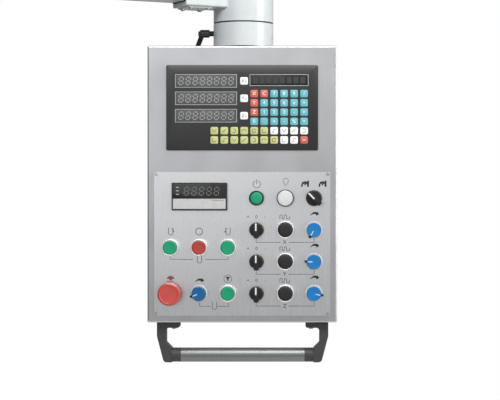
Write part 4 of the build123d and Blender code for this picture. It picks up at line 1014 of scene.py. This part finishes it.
class PENDANT_OT_readout_keys(bpy.types.Operator):
    """Emboss the coloured keys and print their figures and signs"""

    bl_idname = "pendant.readout_keys"
    bl_label = "Readout keys"

    def execute(self, context):
        c = colours()
        names = {"r": "red", "c": "cyan", "y": "yellow", "w": "white"}
        groups = {code: [] for code in names}
        pale, dark = [], []
        top = READOUT_FACE + 0.6
        key = slab(13.4 * MM, 13.1 * MM, 0.62 * MM, 2.5 * MM, 0.45 * MM)

        def put(code, across, down):
            twin = copy_piece(key, "key")
            groups[code].append(place_piece(twin, at(across, down, READOUT_FACE - 0.02)))

        def mark(piece, across, down, group):
            group.append(place_piece(piece, at(across, down, top)))

        for (across, down), letter in zip(AXIS_WINDOWS, "XYZ"):
            put("w", 3.4, down)
            mark(ink_text(letter, 5.2), 1.6, down, dark)
            mark(ink_text("0", 3.6), 6.4, down + 1.4, dark)
        for row, codes in enumerate(KEY_ROWS):
            for number, code in enumerate(codes):
                column = number - 4 if len(codes) > 6 else number
                across = FIRST_KEY[0] + column * KEY_STEP[0]
                down = FIRST_KEY[1] + row * KEY_STEP[1]
                put(code, across, down)
                signs = KEY_SIGNS[row]
                if signs:
                    mark(ink_text(signs[number], 6.0), across, down, pale)
                elif code == "r":
                    mark(ink_line([(-2.6, 0), (2.6, 0)], 1.2 * MM), across, down, pale)
                else:
                    mark(self.sign(row * 5 + number), across, down, dark)
        like = "readout_membrane"
        for code, name in names.items():
            material = printed_film(name + "_printed_key", getattr(c, "key_" + name), 0.42)
            finish_fixed(groups[code], name + "_keys", material, (like,))
        finish_fixed(pale, "key_signs_pale", screen_ink("pale_key_ink", linear("#E4F0EE")))
        finish_fixed(dark, "key_signs_dark", screen_ink("dark_key_ink", linear("#3A3F33")))
        bpy.data.objects.remove(key)
        return {"FINISHED"}

    def sign(self, number):
        """One of a few plain drawing signs: slope, half round, arc, ring, corner, step."""
        drawn = (
            [(-3.4, -2.8), (3.4, 2.8)],
            [(-2.6, -3.2)] + arc(3.2, -90, 90, 10, (-0.6, 0)) + [(-2.6, 3.2)],
            arc(4.2, 20, 160, 10, (0, -2.0)),
            arc(3.2, 0, 330, 14),
            [(-3.2, 3.0), (-3.2, -3.0), (3.4, -3.0)],
            [(-3.6, -2.6), (-0.6, -2.6), (-0.6, 2.2), (3.6, 2.2)],
            [(-3.4, 2.6), (0, -2.8), (3.4, 2.6)],
        )
        return ink_line(drawn[number % len(drawn)], 0.9 * MM)


# ---------------------------------------------------------------- tachometer, handle and fixings


class PENDANT_OT_tachometer(bpy.types.Operator):
    """Model the tachometer's window with its unlit figures and labels"""

    bl_idname = "pendant.tachometer"
    bl_label = "Tachometer"

    def execute(self, context):
        least, most = low("meter_window"), high("meter_window")
        centre = (least + most) / 2
        size = most - least
        pane = slab(size.x, size.z, size.y, 0.4 * MM, 0.15 * MM)
        place_piece(pane, Vector((centre.x, most.y, centre.z)))
        dark = striped_window("dark_smoked_acrylic", linear("#1C1D1D"), 2.2 * MM, 0.25)
        finish_fixed([pane], "meter_pane", dark, ("meter_window",))
        figures, labels = [], []
        for place in range(5):
            figure = ink_shape(seven_segments(7.6, 13.6))
            spot = Vector((centre.x + (-22 + 13.0 * place) * MM, least.y, centre.z))
            figures.append(place_piece(figure, spot))
        for row in range(3):
            label = ink_shape([box_outline(-2.6, -0.7, 2.6, 0.7)])
            spot = Vector((least.x + 8 * MM, least.y, centre.z + (6.6 - 6.0 * row) * MM))
            labels.append(place_piece(label, spot))
        unlit = screen_ink("unlit_meter_grey", linear("#63645F"))
        finish_fixed(figures, "meter_figures", unlit)
        pale = screen_ink("pale_meter_ink", linear("#A8A9A6"))
        finish_fixed(labels, "meter_labels", pale)
        return {"FINISHED"}


class PENDANT_OT_handle(bpy.types.Operator):
    """Turn the grab handle's aluminium tube"""

    bl_idname = "pendant.handle"
    bl_label = "Grab handle tube"

    def execute(self, context):
        least, most = low("handle_tube"), high("handle_tube")
        half = (most.x - least.x) / 2 / MM
        radius = (most.z - least.z) / 2 / MM
        bore = radius - 2.5
        profile = [(bore, -half), (radius, -half), (radius, half), (bore, half), (bore, -half)]
        tube = turned(rounded(profile, 0.4), 96)
        place_piece(tube, middle("handle_tube"), facing=TO_LEFT)
        drawn = machined_metal("drawn_anodised_aluminium", linear("#8C8F91"), 0.42, 0.6 * MM)
        finish_fixed([tube], "handle_grip_tube", drawn, ("handle_tube",))
        return {"FINISHED"}


class PENDANT_OT_carried(bpy.types.Operator):
    """Give every carried-over part of the frame its finish"""

    bl_idname = "pendant.carried"
    bl_label = "Finish the frame parts"

    def execute(self, context):
        c = colours()
        black = moulded_plastic("black_polyamide", c.black, 0.48)
        mask = solder_mask(linear("#1F5A38"))
        finishes = (
            (brushed_steel(c.steel), "enclosure rear_cover"),
            (
                gloss_enamel("white_stoved_enamel", c.enamel),
                "arm_tube arm_end_flange elbow_housing elbow_cover_plate elbow_cap swivel_hub",
            ),
            (cut_rubber(c.black), "arm_gasket hub_gasket rear_gasket"),
            (
                machined_metal("zinc_plated_steel", linear("#B9BCC0"), 0.34),
                "elbow_screws rear_cover_screws box_screws meter_clips",
            ),
            (
                machined_metal("nickel_plated_brass", linear("#C9C5BC"), 0.28),
                "control_plate_screws button_bezels potentiometers panel_nuts",
            ),
            (machined_metal("sintered_bronze", linear("#A8794A"), 0.42, 0.3 * MM), "clamp_pad"),
            (machined_metal("ground_steel", linear("#B4B6B8"), 0.25), "swivel_spindle spindle_nut"),
            (machined_metal("black_oxide_steel", linear("#2A2A2A"), 0.42), "clamp_screw"),
            (machined_metal("natural_anodised_tube", linear("#C9CBCC"), 0.33), "handle_tube"),
            (machined_metal("zinc_coated_sheet", linear("#A9ADB0"), 0.4), "readout_case"),
            (
                black,
                "swivel_bush clamp_handle readout_bezel readout_window_panes selector_bezels contact_blocks"
                " estop_base meter_case meter_window estop_plunger",
            ),
            (printed_film("printed_polyester_film", c.film), "readout_membrane"),
            (mask, "readout_board meter_display"),
            (satin_plate(c.plate), "control_plate"),
            (moulded_plastic("white_abs", c.white), "knob_bezels"),
            (cast_texture(c.charcoal), "handle_brackets"),
            (moulded_plastic("grey_abs", linear("#C0C0BD")), "meter_flap"),
            (moulded_plastic("red_polyamide", c.stop), "estop_head"),
        )
        for material, nodes in finishes:
            for node in nodes.split():
                dress(node, material)
        caps = {"power": c.green, "lamp": c.white, "spindle_forward": c.green, "spindle_stop": c.red}
        caps["spindle_reverse"] = caps["tapping"] = c.green
        for node in BUTTONS:
            code = caps.get(node.replace("_button", ""), c.black)
            dress(node, moulded_plastic(node + "_abs", code))
        for node in SELECTORS:
            dress(node, black)
        for node in KNOBS:
            dress(node, moulded_plastic(node + "_abs", c.blue))
        return {"FINISHED"}


# ---------------------------------------------------------------- studio

# Places are in metres from the middle of the box's front top edge
PANEL_TOP = Vector((CENTRE_X, BOX_FRONT, BOX_TOP))
LENS = 115.2
SHIFT = (-0.12, -0.01)
CAMERA_OFFSET = (0.118, -2.784, -0.260)
WALL_LEAN = (0.26, 0.0, 0.32)
WALL_LEVEL = 0.40
FLOOR_SIZE = 5.0
# Name, place, width, height, watts, colour
LAMPS = (
    ("overhead_softbox", (0.15, -1.05, 0.75), 1.3, 0.5, 17.0, "#FFFFFF"),
    ("right_softbox", (1.6, -0.5, 0.2), 0.7, 1.4, 14.0, "#FFFEFA"),
    ("front_fill", (-0.6, -2.6, 0.3), 1.6, 1.6, 5.0, "#F6F9FF"),
)


class PENDANT_OT_stage(bpy.types.Operator):
    """Set up the pale floor, the soft studio light and the camera"""

    bl_idname = "pendant.stage"
    bl_label = "Studio"

    def execute(self, context):
        scene = context.scene
        scene.view_settings.view_transform = "Standard"
        camera = bpy.data.cameras.new("camera")
        camera.sensor_width = 36
        camera.lens = LENS
        camera.shift_x, camera.shift_y = SHIFT
        view = bpy.data.objects.new("camera", camera)
        view.location = PANEL_TOP + Vector(CAMERA_OFFSET)
        view.rotation_euler = (pi / 2, 0, 0)
        scene.collection.objects.link(view)
        scene.camera = view

        world = bpy.data.worlds.new("studio")
        world.use_nodes = True
        tree = world.node_tree
        soft = tree.nodes["Background"]
        soft.inputs["Color"].default_value = linear("#F4F5F6")
        ray = add(tree, "ShaderNodeTexCoord").outputs["Generated"]
        # The walls are brighter to the right and overhead, and dimmer to the left and below.
        lean = add(tree, "ShaderNodeVectorMath", {"operation": "DOT_PRODUCT", 1: WALL_LEAN}, {0: ray})
        level = add(tree, "ShaderNodeMath", {"operation": "ADD", 1: WALL_LEVEL}, {0: lean.outputs["Value"]})
        tree.links.new(level.outputs["Value"], soft.inputs["Strength"])
        backdrop = add(tree, "ShaderNodeBackground", {"Color": (1, 1, 1, 1), "Strength": 1.0})
        rays = add(tree, "ShaderNodeLightPath").outputs["Is Camera Ray"]
        sides = {0: rays, 1: soft.outputs["Background"], 2: backdrop.outputs["Background"]}
        mixed = add(tree, "ShaderNodeMixShader", {}, sides)
        tree.links.new(mixed.outputs["Shader"], tree.nodes["World Output"].inputs["Surface"])
        scene.world = world

        for name, offset, width, height, power, colour in LAMPS:
            lamp = bpy.data.lights.new(name, "AREA")
            lamp.shape = "RECTANGLE"
            lamp.size = width
            lamp.size_y = height
            lamp.energy = power
            lamp.color = linear(colour)[:3]
            holder = bpy.data.objects.new(name, lamp)
            holder.location = PANEL_TOP + Vector(offset)
            holder.rotation_euler = (-Vector(offset)).to_track_quat("-Z", "Y").to_euler()
            scene.collection.objects.link(holder)

        floor_z = low("handle_brackets").z - sizes().floor_drop
        bpy.ops.object.select_all(action="DESELECT")
        bpy.ops.mesh.primitive_grid_add(
            x_subdivisions=8, y_subdivisions=8, size=FLOOR_SIZE, location=(CENTRE_X, BOX_FRONT, floor_z)
        )
        floor = bpy.context.object
        floor.name = "studio_floor"
        apply_place(floor)
        paper, tree, shader = finish("matt_paper_floor", linear("#EDEDEB"), 0.9)
        fibre = object_pattern(tree, 6 * MM)
        vary_colour(tree, shader, fibre, linear("#EAEAE8"), linear("#F0F0EE"))
        floor.data.materials.append(paper)
        return {"FINISHED"}


OPERATORS = (
    PENDANT_OT_stage,
    PENDANT_OT_carried,
    PENDANT_OT_push_buttons,
    PENDANT_OT_selectors,
    PENDANT_OT_knobs,
    PENDANT_OT_stop,
    PENDANT_OT_plate_marks,
    PENDANT_OT_readout_film,
    PENDANT_OT_readout_windows,
    PENDANT_OT_readout_keys,
    PENDANT_OT_tachometer,
    PENDANT_OT_handle,
)


class PENDANT_PT_panel(bpy.types.Panel):
    """Lists the steps that dress the pendant"""

    bl_label = "Operator pendant"
    bl_idname = "PENDANT_PT_panel"
    bl_space_type = "VIEW_3D"
    bl_region_type = "UI"
    bl_category = "Pendant"

    def draw(self, context):
        for step in OPERATORS:
            self.layout.operator(step.bl_idname)
        for group in (context.scene.pendant_colours, context.scene.pendant_sizes):
            box = self.layout.box()
            for name in group.__annotations__:
                box.prop(group, name)


CLASSES = (PendantColours, PendantSizes) + OPERATORS + (PENDANT_PT_panel,)


def register():
    for cls in CLASSES:
        bpy.utils.register_class(cls)
    bpy.types.Scene.pendant_colours = PointerProperty(type=PendantColours)
    bpy.types.Scene.pendant_sizes = PointerProperty(type=PendantSizes)


def unregister():
    del bpy.types.Scene.pendant_sizes
    del bpy.types.Scene.pendant_colours
    for cls in reversed(CLASSES):
        bpy.utils.unregister_class(cls)


def main():
    register()
    for step in OPERATORS:
        group, name = step.bl_idname.split(".")
        getattr(getattr(bpy.ops, group), name)()


if __name__ == "__main__":
    main()
